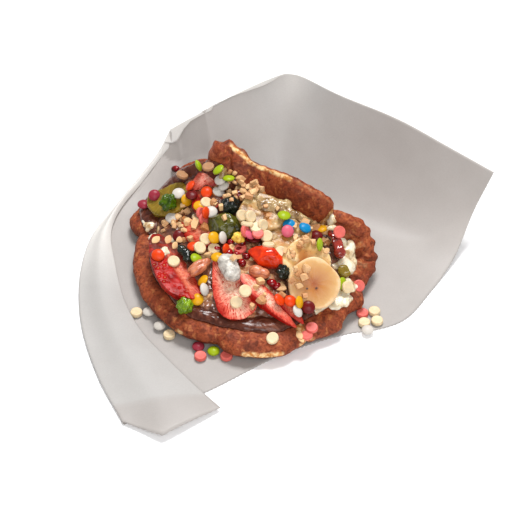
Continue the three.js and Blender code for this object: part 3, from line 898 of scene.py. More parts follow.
@dataclass(frozen=True)
class Seat:
    """Where a topping lies: its two ends and the way that its upper side faces."""

    start: Point
    end: Point
    face: Point = (0, -0.4, 0.9)

    @classmethod
    def round(cls, middle: Point, diameter: float, face: Point = (0, -0.4, 0.9)) -> "Seat":
        """Returns the seat of a round piece with that middle and diameter."""
        along = Vector((face[2], 0, -face[0])).normalized() * diameter / 2
        return cls(tuple(Vector(middle) - along), tuple(Vector(middle) + along), face)

    @property
    def half(self) -> float:
        """Half of the length between the ends."""
        return (Vector(self.end) - Vector(self.start)).length / 2

    def frame(self) -> Matrix:
        """Returns the turn and shift from the piece's own axes to the frame's."""
        start, end = Vector(self.start), Vector(self.end)
        along = (end - start).normalized()
        across = Vector(self.face).cross(along).normalized()
        out = along.cross(across)
        place = Matrix((along, across, out)).transposed().to_4x4()
        return Matrix.Translation((start + end) / 2) @ place

    def settle(self, bm: BMesh, size: Point) -> None:
        """Moves a shape from its own axes to its place, and stores where on the piece each point was.

        Args:
            bm: The shape, about its own middle.
            size: The half sizes by which the stored places are divided.
        """
        seat = bm.verts.layers.float_vector.new("seat")
        for vert in bm.verts:
            vert[seat] = Vector([c / s for c, s in zip(vert.co, size)])
        bmesh.ops.transform(bm, matrix=self.frame(), verts=bm.verts)


def wobbled(bm: BMesh, size: float, depth: float, shift: float = 0.0) -> None:
    """Pushes a closed shape's surface in and out by even noise.

    Args:
        bm: The shape.
        size: How large the dents are.
        depth: How deep they are.
        shift: Where the noise starts, so that two pieces differ.
    """
    bm.normal_update()
    moves = [v.normal * depth * rough(v.co + Vector((shift, shift, -shift)), size) for v in bm.verts]
    for vert, move in zip(bm.verts, moves):
        vert.co += move


# ---------------- the waffle
@dataclass(frozen=True)
class Fold:
    """The fold: wide and upright at its left end, tight and leaning over the filling at its right."""

    centre: Plan = (-1, 8)
    turn: float = radians(-20)
    half_length: float = 50
    radius: Plan = (25, 18)
    angle: Plan = (radians(86), radians(116))
    height: float = 7.2

    def bend(self, a: float, b: float, n: float) -> Vector:
        """Bends a point of the flat waffle.

        Args:
            a: Its distance along the fold.
            b: Its distance across the fold.
            n: Its height above the waffle's mid-thickness, towards the filling.

        Returns:
            Its place after the back half was turned up.
        """
        share = smooth(a, -self.half_length, self.half_length)
        radius = lerp(*self.radius, share)
        angle = lerp(*self.angle, share)
        turned = clamp(b / radius, 0, angle)
        straight = max(0, b - radius * angle)
        across = min(b, 0) + (radius - n) * sin(turned) + straight * cos(turned)
        up = self.height + radius - (radius - n) * cos(turned) + straight * sin(turned)
        x, y = Vector(self.centre) + Matrix.Rotation(self.turn, 2) @ Vector((a, across))
        return Vector((x, y, up))


@dataclass(frozen=True)
class Crack:
    """A short tear in the rim: its direction, how far in it runs, its width and depth, how pale it is."""

    angle: float
    reach: float
    width: float
    depth: float
    pale: float = 0.0


@dataclass
class Waffle:
    """The waffle: ten lobes in five hearts, a smooth inner side, and pockets on its outer side."""

    fold: Fold = field(default_factory=Fold)
    middle: Plan = (3, -8)
    thickness: float = 13
    rim_run: float = 15
    seam: float = 1.6
    # Each lobe's end in degrees, its reach, and the notch after it.
    lobes: tuple[Band, ...] = (
        (229, 71.5, 69.5), (273, 72, 69.5), (314, 76.5, 69), (359, 73.5, 62.5), (410, 71.5, 60),
        (444, 68.5, 66.5), (464, 65.5, 68.5), (484, 82, 72), (520, 77.5, 79), (542, 83.5, 72.5),
    )
    notch_width: float = 7
    # Where thin pale flash stands off the seam, and where the outer half stands out past the seam: from
    # and to in degrees, and by how much.
    flashes: tuple[Band, ...] = (
        (250, 258, 1.0), (256, 285, 0.25), (283, 304, 1.0), (308, 320, 0.6), (76, 113, 0.9), (50, 78, 0.35),
    )
    overhangs: tuple[Band, ...] = (
        (-14, -4, 1.8), (10, 49, 2.4), (52, 70, 1.2), (102, 114, 4.5), (110, 126, 2.2),
    )
    # A stretch that is drawn in: its middle and half width in degrees, and its depth.
    bite: Band = (341, 9, 4)
    # Where the rim is crumpled into creases that run inwards.
    crumples: tuple[Band, ...] = ((-12, 48, 1.0), (310, 318, 0.5))
    # Where the seam lies further back, so that the inner half is the fuller one.
    seam_shifts: tuple[Band, ...] = ((49, 113, 4.2),)
    # The lobe that rises slowly from the notch before it, at the fold's torn left end.
    slow_lobe: int = 7
    sectors: int = 440
    rows: int = 150
    pitch: float = 10
    rib: float = 3.6
    pocket_depth: float = 3.6
    flash: float = 1.7
    # How many degrees one bump of the outer edge takes up.
    bump_run: float = 6.2
    cracks: tuple[Crack, ...] = (
        Crack(228, 12, 1.3, 1.0, 0.4), Crack(17, 14, 2.2, 1.8, 0.3), Crack(243, 8, 1.5, 0.9),
        Crack(50, 24, 2.6, 5.0, 1), Crack(313, 13, 4.0, 3.2, 1), Crack(160, 12, 2.4, 2.4, 1),
        Crack(111, 20, 1.6, 3.4), Crack(2, 9, 1.6, 1.4), Crack(32, 11, 1.6, 1.4), Crack(-12, 9, 1.8, 1.4),
    )

    @staticmethod
    def sector(angle: float, ends: Sequence[float]) -> tuple[int, float, float, float]:
        """Finds the sector that a direction lies in.

        Args:
            angle: The direction in radians.
            ends: The end of each sector in degrees.

        Returns:
            The sector's number, its start and its end, and the direction, all in degrees.
        """
        first = ends[-1] - 360
        bearing = (degrees(angle) - first) % 360 + first
        index = next(i for i, end in enumerate(ends) if bearing <= end)
        return index, ends[index - 1] if index else first, ends[index], bearing

    def outline(self, angle: float) -> float:
        """Returns the flat waffle's radius in a direction given in radians.

        Args:
            angle: The direction.

        Returns:
            The radius.
        """
        index, start, end, bearing = self.sector(angle, [lobe[0] for lobe in self.lobes])
        _, reach, notch_after = self.lobes[index]
        from_start, from_end = bearing - start, end - bearing
        notch = self.lobes[index - 1][2] if from_start < from_end else notch_after
        width = max(self.notch_width, (end - start) * 0.3)
        rise = min(1, min(from_start, from_end) / width)
        slow = index == self.slow_lobe and from_start < from_end
        bitten = self.bite[2] * max(0, 1 - ((bearing - self.bite[0]) / self.bite[1]) ** 2)
        return lerp(notch, reach, min(1, from_start / 9) if slow else sqrt(rise)) - bitten

    def half_thickness(self, inset: float) -> float:
        """Returns half the thickness at a distance from the edge."""
        rise = clamp(inset / self.rim_run)
        return lerp(self.seam / 2, self.thickness / 2, sqrt(1 - (1 - rise) ** 2))

    def folded(self, angle: float, reach: float, n: float) -> Vector:
        """Returns the place in the folded waffle of a direction, a distance from the middle and a height."""
        a, b = self.middle[0] + reach * cos(angle), self.middle[1] + reach * sin(angle)
        return self.fold.bend(a, b, n)

    def point(self, angle: float, share: float, n: float) -> Vector:
        """Returns the place in the folded waffle of a direction, a share of the radius and a height."""
        return self.folded(angle, self.outline(angle) * share, n)

    @staticmethod
    def within(angle: float, bands: Iterable[Band]) -> float:
        """Returns the amount of the band that a direction lies in, fading out over its ends.

        Args:
            angle: The direction, in radians.
            bands: Where each band starts and ends, in degrees, and its amount.

        Returns:
            The amount.
        """
        amounts = [0.0]
        for low, high, amount in bands:
            beyond = (degrees(angle) - low) % 360
            amounts.append(amount * smooth(min(beyond, high - low - beyond), 0, 3))
        return max(amounts)

    def pocket(self, angle: float, reach: float, inset: float) -> float:
        """Returns how much of a pocket's depth there is at a point of the flat outer side.

        Args:
            angle: The point's direction in radians.
            reach: Its distance from the middle.
            inset: Its distance from the edge.

        Returns:
            0 on a rib and 1 on a pocket's floor.
        """
        _, start, end, bearing = self.sector(angle, [lobe[0] for lobe in self.lobes[1::2]])
        axis = radians((start + end) / 2 + 45)
        from_line = reach * sin(radians(min(bearing - start, end - bearing, 90)))
        depth = smooth(from_line, self.rib * 0.4, self.rib * 0.4 + 1.4)
        for turn in (axis, axis + pi / 2):
            wall = (0.5 - abs(reach * cos(angle - turn) / self.pitch % 1 - 0.5)) * self.pitch
            depth *= smooth(wall, self.rib / 2 - 0.5, self.rib / 2 + 1.1)
        return depth * smooth(inset, 1.5, 4.5)

    def inner_side(self, angle: float, inset: float, flat: Vector) -> tuple[float, float, float]:
        """Returns the smooth side's height, the painted shade in its creases, and how far its pale crumbs and
        the painted highlight on its crumpled ridges show.

        Args:
            angle: The point's direction in radians.
            inset: Its distance from the edge.
            flat: Its place in the flat waffle.
        """
        height = self.half_thickness(inset) + 0.6 * rough(flat, 12) + 0.6 * rough(flat, 5, 2)
        height += 0.22 * rough(flat, 2)
        shade = crumb_and_highlight = 0.0
        crumple = self.within(angle, self.crumples)
        if crumple:
            bearing = degrees(angle)
            crease = 2 * rough(Vector((bearing * 0.9, inset * 0.45 + bearing * 0.4, 4)), 6, 2)
            height += 1.6 * crumple * crease * smooth(inset, 0, 5)
            # Painted shade in the creases' valleys.
            shade = clamp(-1.6 * crease * crumple, 0, 0.8) * smooth(inset, 0, 5)
            # Painted highlight on the creases' ridges, in the flash's golden colour.
            crumb_and_highlight = clamp(0.6 * crease * crumple, 0, 0.34) * smooth(inset, 0, 4)
        for crack in self.cracks:
            turn = angle - radians(crack.angle)
            if cos(turn) > 0 and inset < crack.reach:
                aside = abs(flat.xy.length * sin(turn)) + 0.8 * rough(flat, 3)
                torn = smooth(aside, crack.width, 0)
                height = max(0.3, height - crack.depth * torn)
                crumb_and_highlight = max(crumb_and_highlight, torn * crack.pale)
        return height, shade, crumb_and_highlight

    def outer_side(self, inset: float, pocket: float, flat: Vector, back: float) -> float:
        """Returns the pocketed side's height.

        Args:
            inset: The point's distance from the edge.
            pocket: How much of a pocket's depth there is.
            flat: The point's place in the flat waffle.
            back: How far back the seam lies there.
        """
        height = self.half_thickness(inset)
        height -= self.pocket_depth * pocket * smooth(inset, 0, 9) - 0.3 * rough(flat, 6)
        return min(max(height, 0.3), self.thickness / 2 - back * 0.8)

    def bulge(self, angle: float, inset: float, around: Vector) -> float:
        """Returns how far the outer half stands out past the seam.

        Args:
            angle: The point's direction in radians.
            inset: Its distance from the edge.
            around: Its direction as a place for noise.
        """
        bumps = 0.55 + 0.45 * cos(radians(degrees(angle) * 360 / self.bump_run))
        bumps += 0.3 * rough(around, 8)
        return self.within(angle, self.overhangs) * bumps * smooth(inset, 0, 1.4) * smooth(inset, 10, 2)

    def build(self) -> Object:
        """Returns the folded waffle."""
        bm = bmesh.new()
        bmesh.ops.create_uvsphere(bm, u_segments=self.sectors, v_segments=self.rows, radius=1)
        flash_crumb_and_highlight_layer = bm.verts.layers.float.new("flash")
        pocket_shade_layer = bm.verts.layers.float.new("pocket")
        rim = 1 - 2 / self.rows
        for vert, angle, across, inner in discs(bm):
            share = min(1, across / rim)
            around = Vector((cos(angle), sin(angle), 0)) * 30
            radius = self.outline(angle) + 1.1 * rough(around, 9) + 0.35 * rough(around, 2.2)
            reach, inset = radius * share, radius * (1 - share)
            flat = Vector((reach * cos(angle), reach * sin(angle), 20 if inner else -20))
            back = self.within(angle, self.seam_shifts) * smooth(inset, 13, 0)
            crumb_and_highlight = 0.0
            if inner:
                height, vert[pocket_shade_layer], crumb_and_highlight = self.inner_side(angle, inset, flat)
            else:
                # The pocket's depth is also kept as painted shade for the crust.
                vert[pocket_shade_layer] = self.pocket(angle, reach, inset)
                height = -self.outer_side(inset, vert[pocket_shade_layer], flat, back)
                reach += self.bulge(angle, inset, around)
            edge = smooth(inset, 0.7, 0)
            fin = max(0.1, self.within(angle, self.flashes))
            if across > rim + 1e-6:
                reach += self.flash * clamp(0.55 + 0.9 * rough(around, 1.5, 4)) * fin
                height, edge, crumb_and_highlight = 0, 1, 0
            # The flash colour also paints the cracks' pale crumbs and the painted highlight on crumpled
            # ridges.
            vert[flash_crumb_and_highlight_layer] = max(crumb_and_highlight, edge * fin * (0.8 + 0.5 * rough(around, 5)))
            vert.co = self.folded(angle, reach, height - back)
        bmesh.ops.recalc_face_normals(bm, faces=bm.faces)
        return finished(bm, "folded_waffle", [CRUST], ["waffle"])


# ---------------- the paper bag
def spline(points: Sequence[Point], count: int) -> np.ndarray:
    """Returns points at even steps along a smooth curve.

    Args:
        points: The points that the curve goes through.
        count: How many points to return.

    Returns:
        An array of count places.
    """
    known = np.array(points, float)
    known = np.vstack([2 * known[0] - known[1], known, 2 * known[-1] - known[-2]])
    track = []
    w = np.linspace(0, 1, 40, endpoint=False)[:, None]
    for p0, p1, p2, p3 in zip(known, known[1:], known[2:], known[3:]):
        d0, d1, d2 = (np.linalg.norm(b - a) ** 0.5 for a, b in ((p0, p1), (p1, p2), (p2, p3)))
        t1 = ((p1 - p0) / d0 - (p2 - p0) / (d0 + d1) + (p2 - p1) / d1) * d1
        t2 = ((p2 - p1) / d1 - (p3 - p1) / (d1 + d2) + (p3 - p2) / d2) * d1
        track.append(p1 + t1 * w + (3 * (p2 - p1) - 2 * t1 - t2) * w**2 + (2 * (p1 - p2) + t1 + t2) * w**3)
    track.append(known[-2:-1])
    return evenly(np.vstack(track), count)


def evenly(line: np.ndarray, count: int) -> np.ndarray:
    """Returns count points at even steps along a line of points.

    Args:
        line: The points.
        count: How many are returned.

    Returns:
        The points at even steps.
    """
    lengths = np.concatenate([[0], np.cumsum(np.linalg.norm(np.diff(line, axis=0), axis=1))])
    steps = np.linspace(0, lengths[-1], count)
    return np.stack([np.interp(steps, lengths, line[:, axis]) for axis in range(3)], axis=1)


@dataclass(frozen=True)
class Crease:
    """A fold mark in the sheet: its two ends in plan, how high its crest is and how wide."""

    start: Plan
    end: Plan
    height: float
    width: float

    def lift(self, x: np.ndarray, y: np.ndarray) -> np.ndarray:
        """Returns how far the crease lifts the sheet at places in plan.

        Args:
            x: The places from left to right.
            y: The places from front to back.

        Returns:
            The lift at each.
        """
        along = np.subtract(self.end, self.start)
        share = ((x - self.start[0]) * along[0] + (y - self.start[1]) * along[1]) / (along @ along)
        inside = np.clip(share, 0, 1)
        away = np.hypot(x - self.start[0] - inside * along[0], y - self.start[1] - inside * along[1])
        return self.height * np.clip(1 - away / self.width, 0, 1) ** 1.3


@dataclass
class OpenedBag:
    """The bag, slit open: flat under the waffle, standing up behind it, its left margin turned over."""

    left: Point = (-70, -120, 0)
    right: Point = (141, 37, 43)
    peak: Point = (18, 115, 57)
    shut: Point = (-54, 95, 29)
    side_fold: tuple[Point, ...] = (
        (-86, -87, 0), (-99, -46, 0), (-103, -5, 0), (-99, 25, 0), (-90, 44, 2), (-73, 70, 10), (-61, 84, 20),
    )
    shut_end: tuple[Point, ...] = ((-40, 97, 37), (-10, 106, 50), (8, 113.2, 54.5))
    opened_side: tuple[Point, ...] = ((116, 54, 48), (87, 73, 54), (51, 95, 56.5), (27, 112.8, 57.5))
    mouth: tuple[Point, ...] = (
        (-28, -98, 0), (16, -69, 0), (52, -54, 0), (68, -51, 0), (85, -43, 0), (103, -19, 0), (117, 3, 1),
        (130, 27, 20),
    )
    free_edge: tuple[Point, ...] = (
        (-19, -110, 0), (-28, -100, 0), (-51, -72, 0), (-65, -53, 0), (-76, -29, 0), (-84, 3, 0),
        (-88, 28, 0), (-84, 46, 0), (-71, 67, 0), (-60, 81, 0), (-50.5, 92, 0),
    )
    creases: tuple[Crease, ...] = (
        Crease((-32, 98), (-27, 76), 1.0, 5), Crease((-47, 92), (-46, 80), -0.8, 5),
        Crease((-46, 83), (-29, 82), 0.7, 4), Crease((18, 113), (30, 84), 1.0, 16),
        Crease((30, 60), (44, 48), 0.9, 5), Crease((-78, 62), (-64, 80), -1.2, 3),
        Crease((-84, 52), (-70, 70), 0.8, 3),
    )
    # The inner edge of the strip that is folded over the shut end: the share along it, and the place.
    strip_edge: tuple[Point, ...] = (
        (0, -60, 81), (0.05, -59, 84), (0.1, -57, 88.5), (0.16, -49.5, 89.5), (0.2, -45.5, 93),
        (0.27, -41, 95.4), (0.36, -33, 97.6), (0.42, -27.5, 99), (0.435, -26.5, 100.6), (0.7, -6, 106.4),
        (0.88, 8, 111.8), (1, 17.5, 115),
    )
    # Flat facets beside the strip, with painted shade where the tone is below 0 and painted light where it is
    # above: the tone and the corners in plan.
    facets: tuple[tuple[float, tuple[Plan, ...]], ...] = (
        (-0.75, ((-54, 81.5), (-46.5, 82), (-49, 90), (-57, 89), (-60, 84))),
        (-0.35, ((-46.5, 82), (-30, 84.5), (-28, 89), (-32, 99), (-42, 97), (-49, 90))),
        (0.5, ((-50, 76), (-30, 80), (-30, 84.5), (-46.5, 82), (-54, 81.5))),
    )
    thickness: float = 0.22
    middle_height: float = 0.2
    reach: float = 45
    climb: float = 2.3
    bend: float = 0.9
    belly: float = 2.4
    lip: float = 15
    lip_at: float = 0.41
    lip_rows: float = 19
    tooth: float = 0.45
    rows: int = 132
    columns: int = 236
    flap_columns: int = 40
    bends: int = 7
    # How far the painted light around the peak reaches.
    glow_reach: float = 70
    rounding: int = 24

    def __post_init__(self) -> None:
        """Draws the four edges and gathers the points that pull the sheet up."""
        count = self.rows + 1
        self.fold_line = spline((self.left, *self.side_fold, self.shut), count)
        self.far_line = spline((self.right, *self.opened_side, self.peak), count)
        self.end_line = spline((self.shut, *self.shut_end, self.peak), self.columns + 1)
        self.mouth_line = spline((self.left, *self.mouth, self.right), self.columns + 1)
        self.edge_line = spline(self.free_edge, count)
        # How loose the fold is along its length: pressed flat where it meets the shut end.
        self.slack = 1 - 0.85 * np.clip((np.linspace(0, 1, count) - 0.78) / 0.17, 0, 1)
        pull = np.vstack([self.fold_line, self.far_line, self.end_line, self.mouth_line])
        self.pull = pull[pull[:, 2] > 0.05]
        from_peak = np.hypot(self.pull[:, 0] - self.peak[0], self.pull[:, 1] - self.peak[1])
        self.curls = np.clip(1 - from_peak / 75, 0, 1)

    def height(self, x: np.ndarray, y: np.ndarray) -> np.ndarray:
        """Returns the height to which the raised edges pull the sheet at places in plan.

        Args:
            x: The places from left to right.
            y: The places from front to back.

        Returns:
            The height at each.
        """
        best = np.zeros(x.shape)
        for edge, curl in zip(self.pull, self.curls):
            near = np.clip(1 - np.hypot(x - edge[0], y - edge[1]) / self.reach, 0, 1)
            rise = near**self.climb + 0.22 * curl * np.sin(np.pi * near) * near**2
            best = np.maximum(best, edge[2] * rise)
        return best + self.middle_height

    def lower_layer(self) -> np.ndarray:
        """Returns the rows of points of the layer that the food lies on."""
        u = np.linspace(0, 1, self.columns + 1)[None, :, None]
        v = np.linspace(0, 1, self.rows + 1)[:, None, None]
        sides = (1 - u) * self.fold_line[:, None] + u * self.far_line[:, None]
        ends = (1 - v) * self.mouth_line[None] + v * self.end_line[None]
        corners = (1 - v) * ((1 - u) * self.mouth_line[0] + u * self.mouth_line[-1])
        corners = corners + v * ((1 - u) * self.end_line[0] + u * self.end_line[-1])
        points = sides + ends - corners
        x, y = points[..., 0], points[..., 1]
        z = self.height(x, y)
        for _ in range(self.rounding):
            inside = (z[:-2, 1:-1] + z[2:, 1:-1] + z[1:-1, :-2] + z[1:-1, 2:]) / 4
            z[1:-1, 1:-1] = (z[1:-1, 1:-1] + inside) / 2
        for crease in self.creases:
            z += crease.lift(x, y) * np.clip((z - 2) / 6, 0, 1)
        points[..., 2] = z
        return points

    def flap(self) -> np.ndarray:
        """Returns the rows of points of the turned-over margin, from its free edge to the fold."""
        f = np.linspace(1, 0, self.flap_columns + 1)[None, :]
        v = np.linspace(0, 1, self.rows + 1)[:, None]
        points = (1 - f[..., None]) * self.fold_line[:, None] + f[..., None] * self.edge_line[:, None]
        to_tip = np.where(f < self.lip_at, f / self.lip_at, (1 - f) / (1 - self.lip_at))
        points[..., 1] -= self.lip * np.clip(1 - v * self.lip_rows, 0, 1) * to_tip
        rise = np.clip(f / 0.5, 0, 1)
        room = 2 * self.bend + self.belly * np.sin(np.pi * f) * rise * rise * (3 - 2 * rise)
        points[..., 2] = self.height(points[..., 0], points[..., 1]) + room * self.slack[:, None]
        return points

    def sheet(self) -> np.ndarray:
        """Returns the rows of points of the whole sheet, from the margin's free edge round its fold."""
        lower, flap = self.lower_layer(), self.flap()
        outward = self.fold_line - self.edge_line
        outward[:, 2] = 0
        outward *= self.bend / np.linalg.norm(outward, axis=1)[:, None] * self.slack[:, None]
        middle, half = (lower[:, 0] + flap[:, -1]) / 2, (lower[:, 0] - flap[:, -1]) / 2
        bends = [middle + half * cos(turn) + outward * sin(turn)
                 for turn in np.linspace(pi, 0, self.bends + 2)[1:-1]]
        points = np.concatenate([flap, np.stack(bends, axis=1), lower], axis=1)
        points[0, :, 1] += np.where(np.arange(points.shape[1]) % 2, self.tooth, -self.tooth) / 2
        return points

    def tones(self, x: np.ndarray, y: np.ndarray) -> np.ndarray:
        """Finds how pale or dark the sheet is: its double margin, with painted light on the margin's upper
        band, painted light near its peak, and painted shade and light on its facets.

        Args:
            x: The places of its points from left to right.
            y: Their places from front to back.

        Returns:
            The tone at each point, where 1 is the tone of two layers.
        """
        tones = np.zeros(x.shape)
        along = np.linspace(0, 1, self.rows + 1)[:, None]
        # Two layers past the lip, and from near half way along the fold the margin is raised towards the
        # folded tone as painted light.
        double = np.clip((along * self.lip_rows - 0.9) * 4, 0, 1) + 0.9 * np.clip((along - 0.45) / 0.2, 0, 1)
        tones[:, : self.flap_columns + self.bends] = double
        # Painted light: the single sheet is paler near its peak, where it bends back towards the light.
        glow = np.clip(1 - np.hypot(x - self.peak[0] - 6, y - self.peak[1]) / self.glow_reach, 0, 1)
        tones += 1.5 * glow**1.3 * (tones == 0)
        # Painted shade and light on the facets.
        for tone, corners in self.facets:
            tones += tone * self.inside(x, y, corners) * (tones < 0.6)
        return tones

    def build(self) -> Object:
        """Returns the paper with its turned margin and the narrow strip folded over its shut end."""
        points = self.sheet()
        bm = bmesh.new()
        shade = bm.verts.layers.float.new("layers")
        self.lay(bm, points, self.tones(points[..., 0], points[..., 1]), shade)
        self.lay(bm, *self.strip(), shade)
        piece = finished(bm, "greaseproof_bag", [PAPER], ["paper_wrap"], crease=50)
        body = piece.modifiers.new("body", "SOLIDIFY")
        body.thickness = self.thickness * MM
        body.offset = 0
        return piece

    @staticmethod
    def inside(x: np.ndarray, y: np.ndarray, corners: Sequence[Plan]) -> np.ndarray:
        """Returns 1 at the places in plan inside an outline that turns left at each corner, and 0 outside.

        Args:
            x: The places from left to right.
            y: The places from front to back.
            corners: The corners.

        Returns:
            The share at each place.
        """
        shares = np.ones(x.shape)
        for (x0, y0), (x1, y1) in zip(corners, (*corners[1:], corners[0])):
            beside = ((x1 - x0) * (y - y0) - (y1 - y0) * (x - x0)) / hypot(x1 - x0, y1 - y0)
            shares = np.minimum(shares, np.clip(beside / 0.6 + 0.5, 0, 1))
        return shares

    def strip(self) -> tuple[np.ndarray, np.ndarray]:
        """Returns the strip that is folded over the shut end: its points and its tones."""
        count, across = 120, 8
        outer = evenly(np.vstack([self.fold_line[-9:-1], self.end_line]), count)
        inner = np.array([np.interp(np.linspace(0, 1, count), [stop for stop, _, _ in self.strip_edge],
                                    [stop[axis] for stop in self.strip_edge]) for axis in (1, 2)]).T
        share = np.linspace(0, 1, across)[None, :, None]
        points = np.zeros((count, across, 3))
        points[..., :2] = outer[:, None, :2] * (1 - share) + inner[:, None] * share
        points[..., 2] = self.height(points[..., 0], points[..., 1]) + 0.5 + 0.6 * share[..., 0]
        return points[::-1], np.full((count, across), 2.0)

    @staticmethod
    def lay(bm: BMesh, points: np.ndarray, tones: np.ndarray, shade: BMLayerItem) -> None:
        """Adds a sheet.

        Args:
            bm: The shape that it is added to.
            points: Its rows of points.
            tones: The tone at each point.
            shade: The layer that keeps the tones.
        """
        rows, columns = tones.shape
        made = bmesh.ops.create_grid(bm, x_segments=columns - 1, y_segments=rows - 1, size=1)["verts"]
        for vert in made:
            j = round((vert.co.x + 1) / 2 * (columns - 1))
            i = round((vert.co.y + 1) / 2 * (rows - 1))
            vert[shade] = tones[i, j]
            vert.co = points[i, j]


# ---------------- the spreads
def run_out(angle: float, overruns: Iterable[Band]) -> float:
    """Returns how much further out the filling goes in a direction than it does elsewhere.

    Args:
        angle: The direction, in radians.
        overruns: Where each starts and ends, in degrees, and how much it adds.

    Returns:
        The share of the radius that is added.
    """
    bearing = degrees(angle) % 360
    return sum(more * sin(pi * clamp((bearing - low) / (high - low))) ** 0.6
               for low, high, more in overruns)


@dataclass
class Spread:
    """A layer of sauce or cream on part of the waffle's inner side, with a wavy outer edge."""

    name: str
    finish: Finish
    slot: str
    node: str
    waffle: Waffle
    span: Plan
    phase: float
    thickness: float = 1.9
    outer: float = 0.85
    inner: float = 0.25
    wave: float = 0.03
    # Where the filling runs further out or stops short: from, to, and by how much of the radius.
    overruns: tuple[Band, ...] = ((106, 186, 0.15), (44, 114, -0.18))
    ripples: float = 0.6

    def edge(self, angle: float) -> float:
        """Returns the share of the radius at which the layer ends."""
        beyond = run_out(angle, self.overruns)
        round_it = Vector((cos(angle), sin(angle), self.phase)) * 20
        waves = rough(round_it, 9, 2) + 0.25 * rough(round_it, 3, 1)
        return min(0.99, self.outer + self.wave * waves + beyond)

    def build(self) -> Object:
        """Returns the layer."""
        bm = bmesh.new()
        columns = round((self.span[1] - self.span[0]) * 1.3)
        bmesh.ops.create_grid(bm, x_segments=columns, y_segments=60, size=1)
        for vert in bm.verts:
            along, across = (vert.co.x + 1) / 2, (vert.co.y + 1) / 2
            angle = radians(lerp(*self.span, along))
            radius = self.waffle.outline(angle)
            level = sum(self.waffle.outline(angle + 0.07 * side) for side in (-2, -1, 0, 1, 2)) / 5
            edge = min(0.99, self.edge(angle) * level / radius)
            share = lerp(self.inner, edge, 1 - (1 - across) ** 1.4)
            to_edge = min((edge - share) * radius, along * 90, (1 - along) * 90)
            flat = Vector((cos(angle), sin(angle), 0)) * radius * share
            body = sqrt(clamp(to_edge / 3.2) * (2 - clamp(to_edge / 3.2)))
            lift = self.thickness * (1 + 0.12 * rough(flat, 20)) + self.ripples * rough(flat, 8, 2)
            n = self.waffle.half_thickness(radius * (1 - share)) + lift * body - 0.25 * (1 - body)
            vert.co = self.waffle.point(angle, share, n)
        bmesh.ops.recalc_face_normals(bm, faces=bm.faces)
        bm.faces.ensure_lookup_table()
        piece = finished(bm, self.name, [self.finish], [self.node])
        wall = piece.modifiers.new("wall", "SOLIDIFY")
        wall.thickness = 1.2 * MM
        wall.offset = -1
        return piece


# ---------------- the heap
@dataclass
class Heap:
    """The ground of the heap that the toppings lie in and on."""

    waffle: Waffle
    edge: float = 0.8
    overruns: tuple[Band, ...] = ((104, 190, 0.12), (46, 104, -0.1))
    levelling: float = 0.35
    lift: float = 9.5
    dome: float = 8.2
    sectors: int = 180
    rows: int = 90
    nubs: float = 1.3

    def rim(self, angle: float, share: float = 1) -> Vector:
        """Returns a point of the ground's underside, which levels out the waffle's lobes.

        Args:
            angle: The direction, in radians.
            share: How far out the point is.

        Returns:
            The point.
        """
        here = self.waffle.outline(angle)
        nearby = [self.waffle.outline(angle + side * self.levelling) for side in (-1, 0, 1)]
        level = min(min(nearby), sum(nearby) / 3)
        edge = self.edge + run_out(angle, self.overruns)
        return self.waffle.point(angle, share * edge * level / here, self.lift)

    def build(self) -> Object:
        """Returns the ground."""
        turns = [2 * pi * k / self.sectors for k in range(self.sectors)]
        middle = sum((self.rim(turn) for turn in turns), Vector()) / self.sectors
        bm = bmesh.new()
        bmesh.ops.create_uvsphere(bm, u_segments=self.sectors, v_segments=self.rows, radius=1)
        for vert, angle, share, upper in discs(bm):
            if upper:
                point = middle.lerp(self.rim(angle), share)
                point.z += self.dome * (1 - share**2.4) + 0.4
                point.z += (1.4 * rough(point, 16) + self.nubs * abs(rough(point, 3.2, 2))) * (1 - share**8)
            else:
                point = self.rim(angle, share)
            vert.co = point
        bmesh.ops.recalc_face_normals(bm, faces=bm.faces)
        return finished(bm, "heap_ground", [GROUND], ["topping_mix"])


# ---------------- fruit
@dataclass(frozen=True)
class StrawberryPiece:
    """A strawberry cut lengthwise: a flat cut face over a rounded back, narrower at its tip."""

    name: str
    seat: Seat
    width: float
    depth: float = 8
    above: float = 1.5
    taper: float = 0.45
    point: float = 0.0
    finish: Finish = BERRY

    def build(self) -> Object:
        """Returns the piece."""
        bm = bmesh.new()
        bmesh.ops.create_uvsphere(bm, u_segments=72, v_segments=60, radius=1)
        for vert, turn, share, upper in discs(bm):
            narrow = (1 - self.taper * cos(turn)) * max(0.02, abs(sin(turn / 2))) ** self.point
            x = self.seat.half * share * cos(turn)
            y = self.width / 2 * share * sin(turn) * narrow
            spot = Vector((x + self.width, y, self.depth))
            if upper:
                z = 0.4 + self.above * (1 - share**4) * 0.5 + 0.22 * rough(spot, 2.4) * (1 - share**6)
                z += 0.5 * rough(spot, 9) * (1 - share**2)
            else:
                z = 0.4 - self.depth * narrow**0.5 * sqrt(max(0, 1 - share**2))
            swell = 1 + 0.05 * rough(spot + Vector((0, 0, z)), 8) * share
            vert.co = Vector((x * swell, y * swell, z))
        self.seat.settle(bm, (self.seat.half, self.width / 2, self.depth))
        return finished(bm, self.name + "_fruit", [self.finish], [self.name], crease=60)


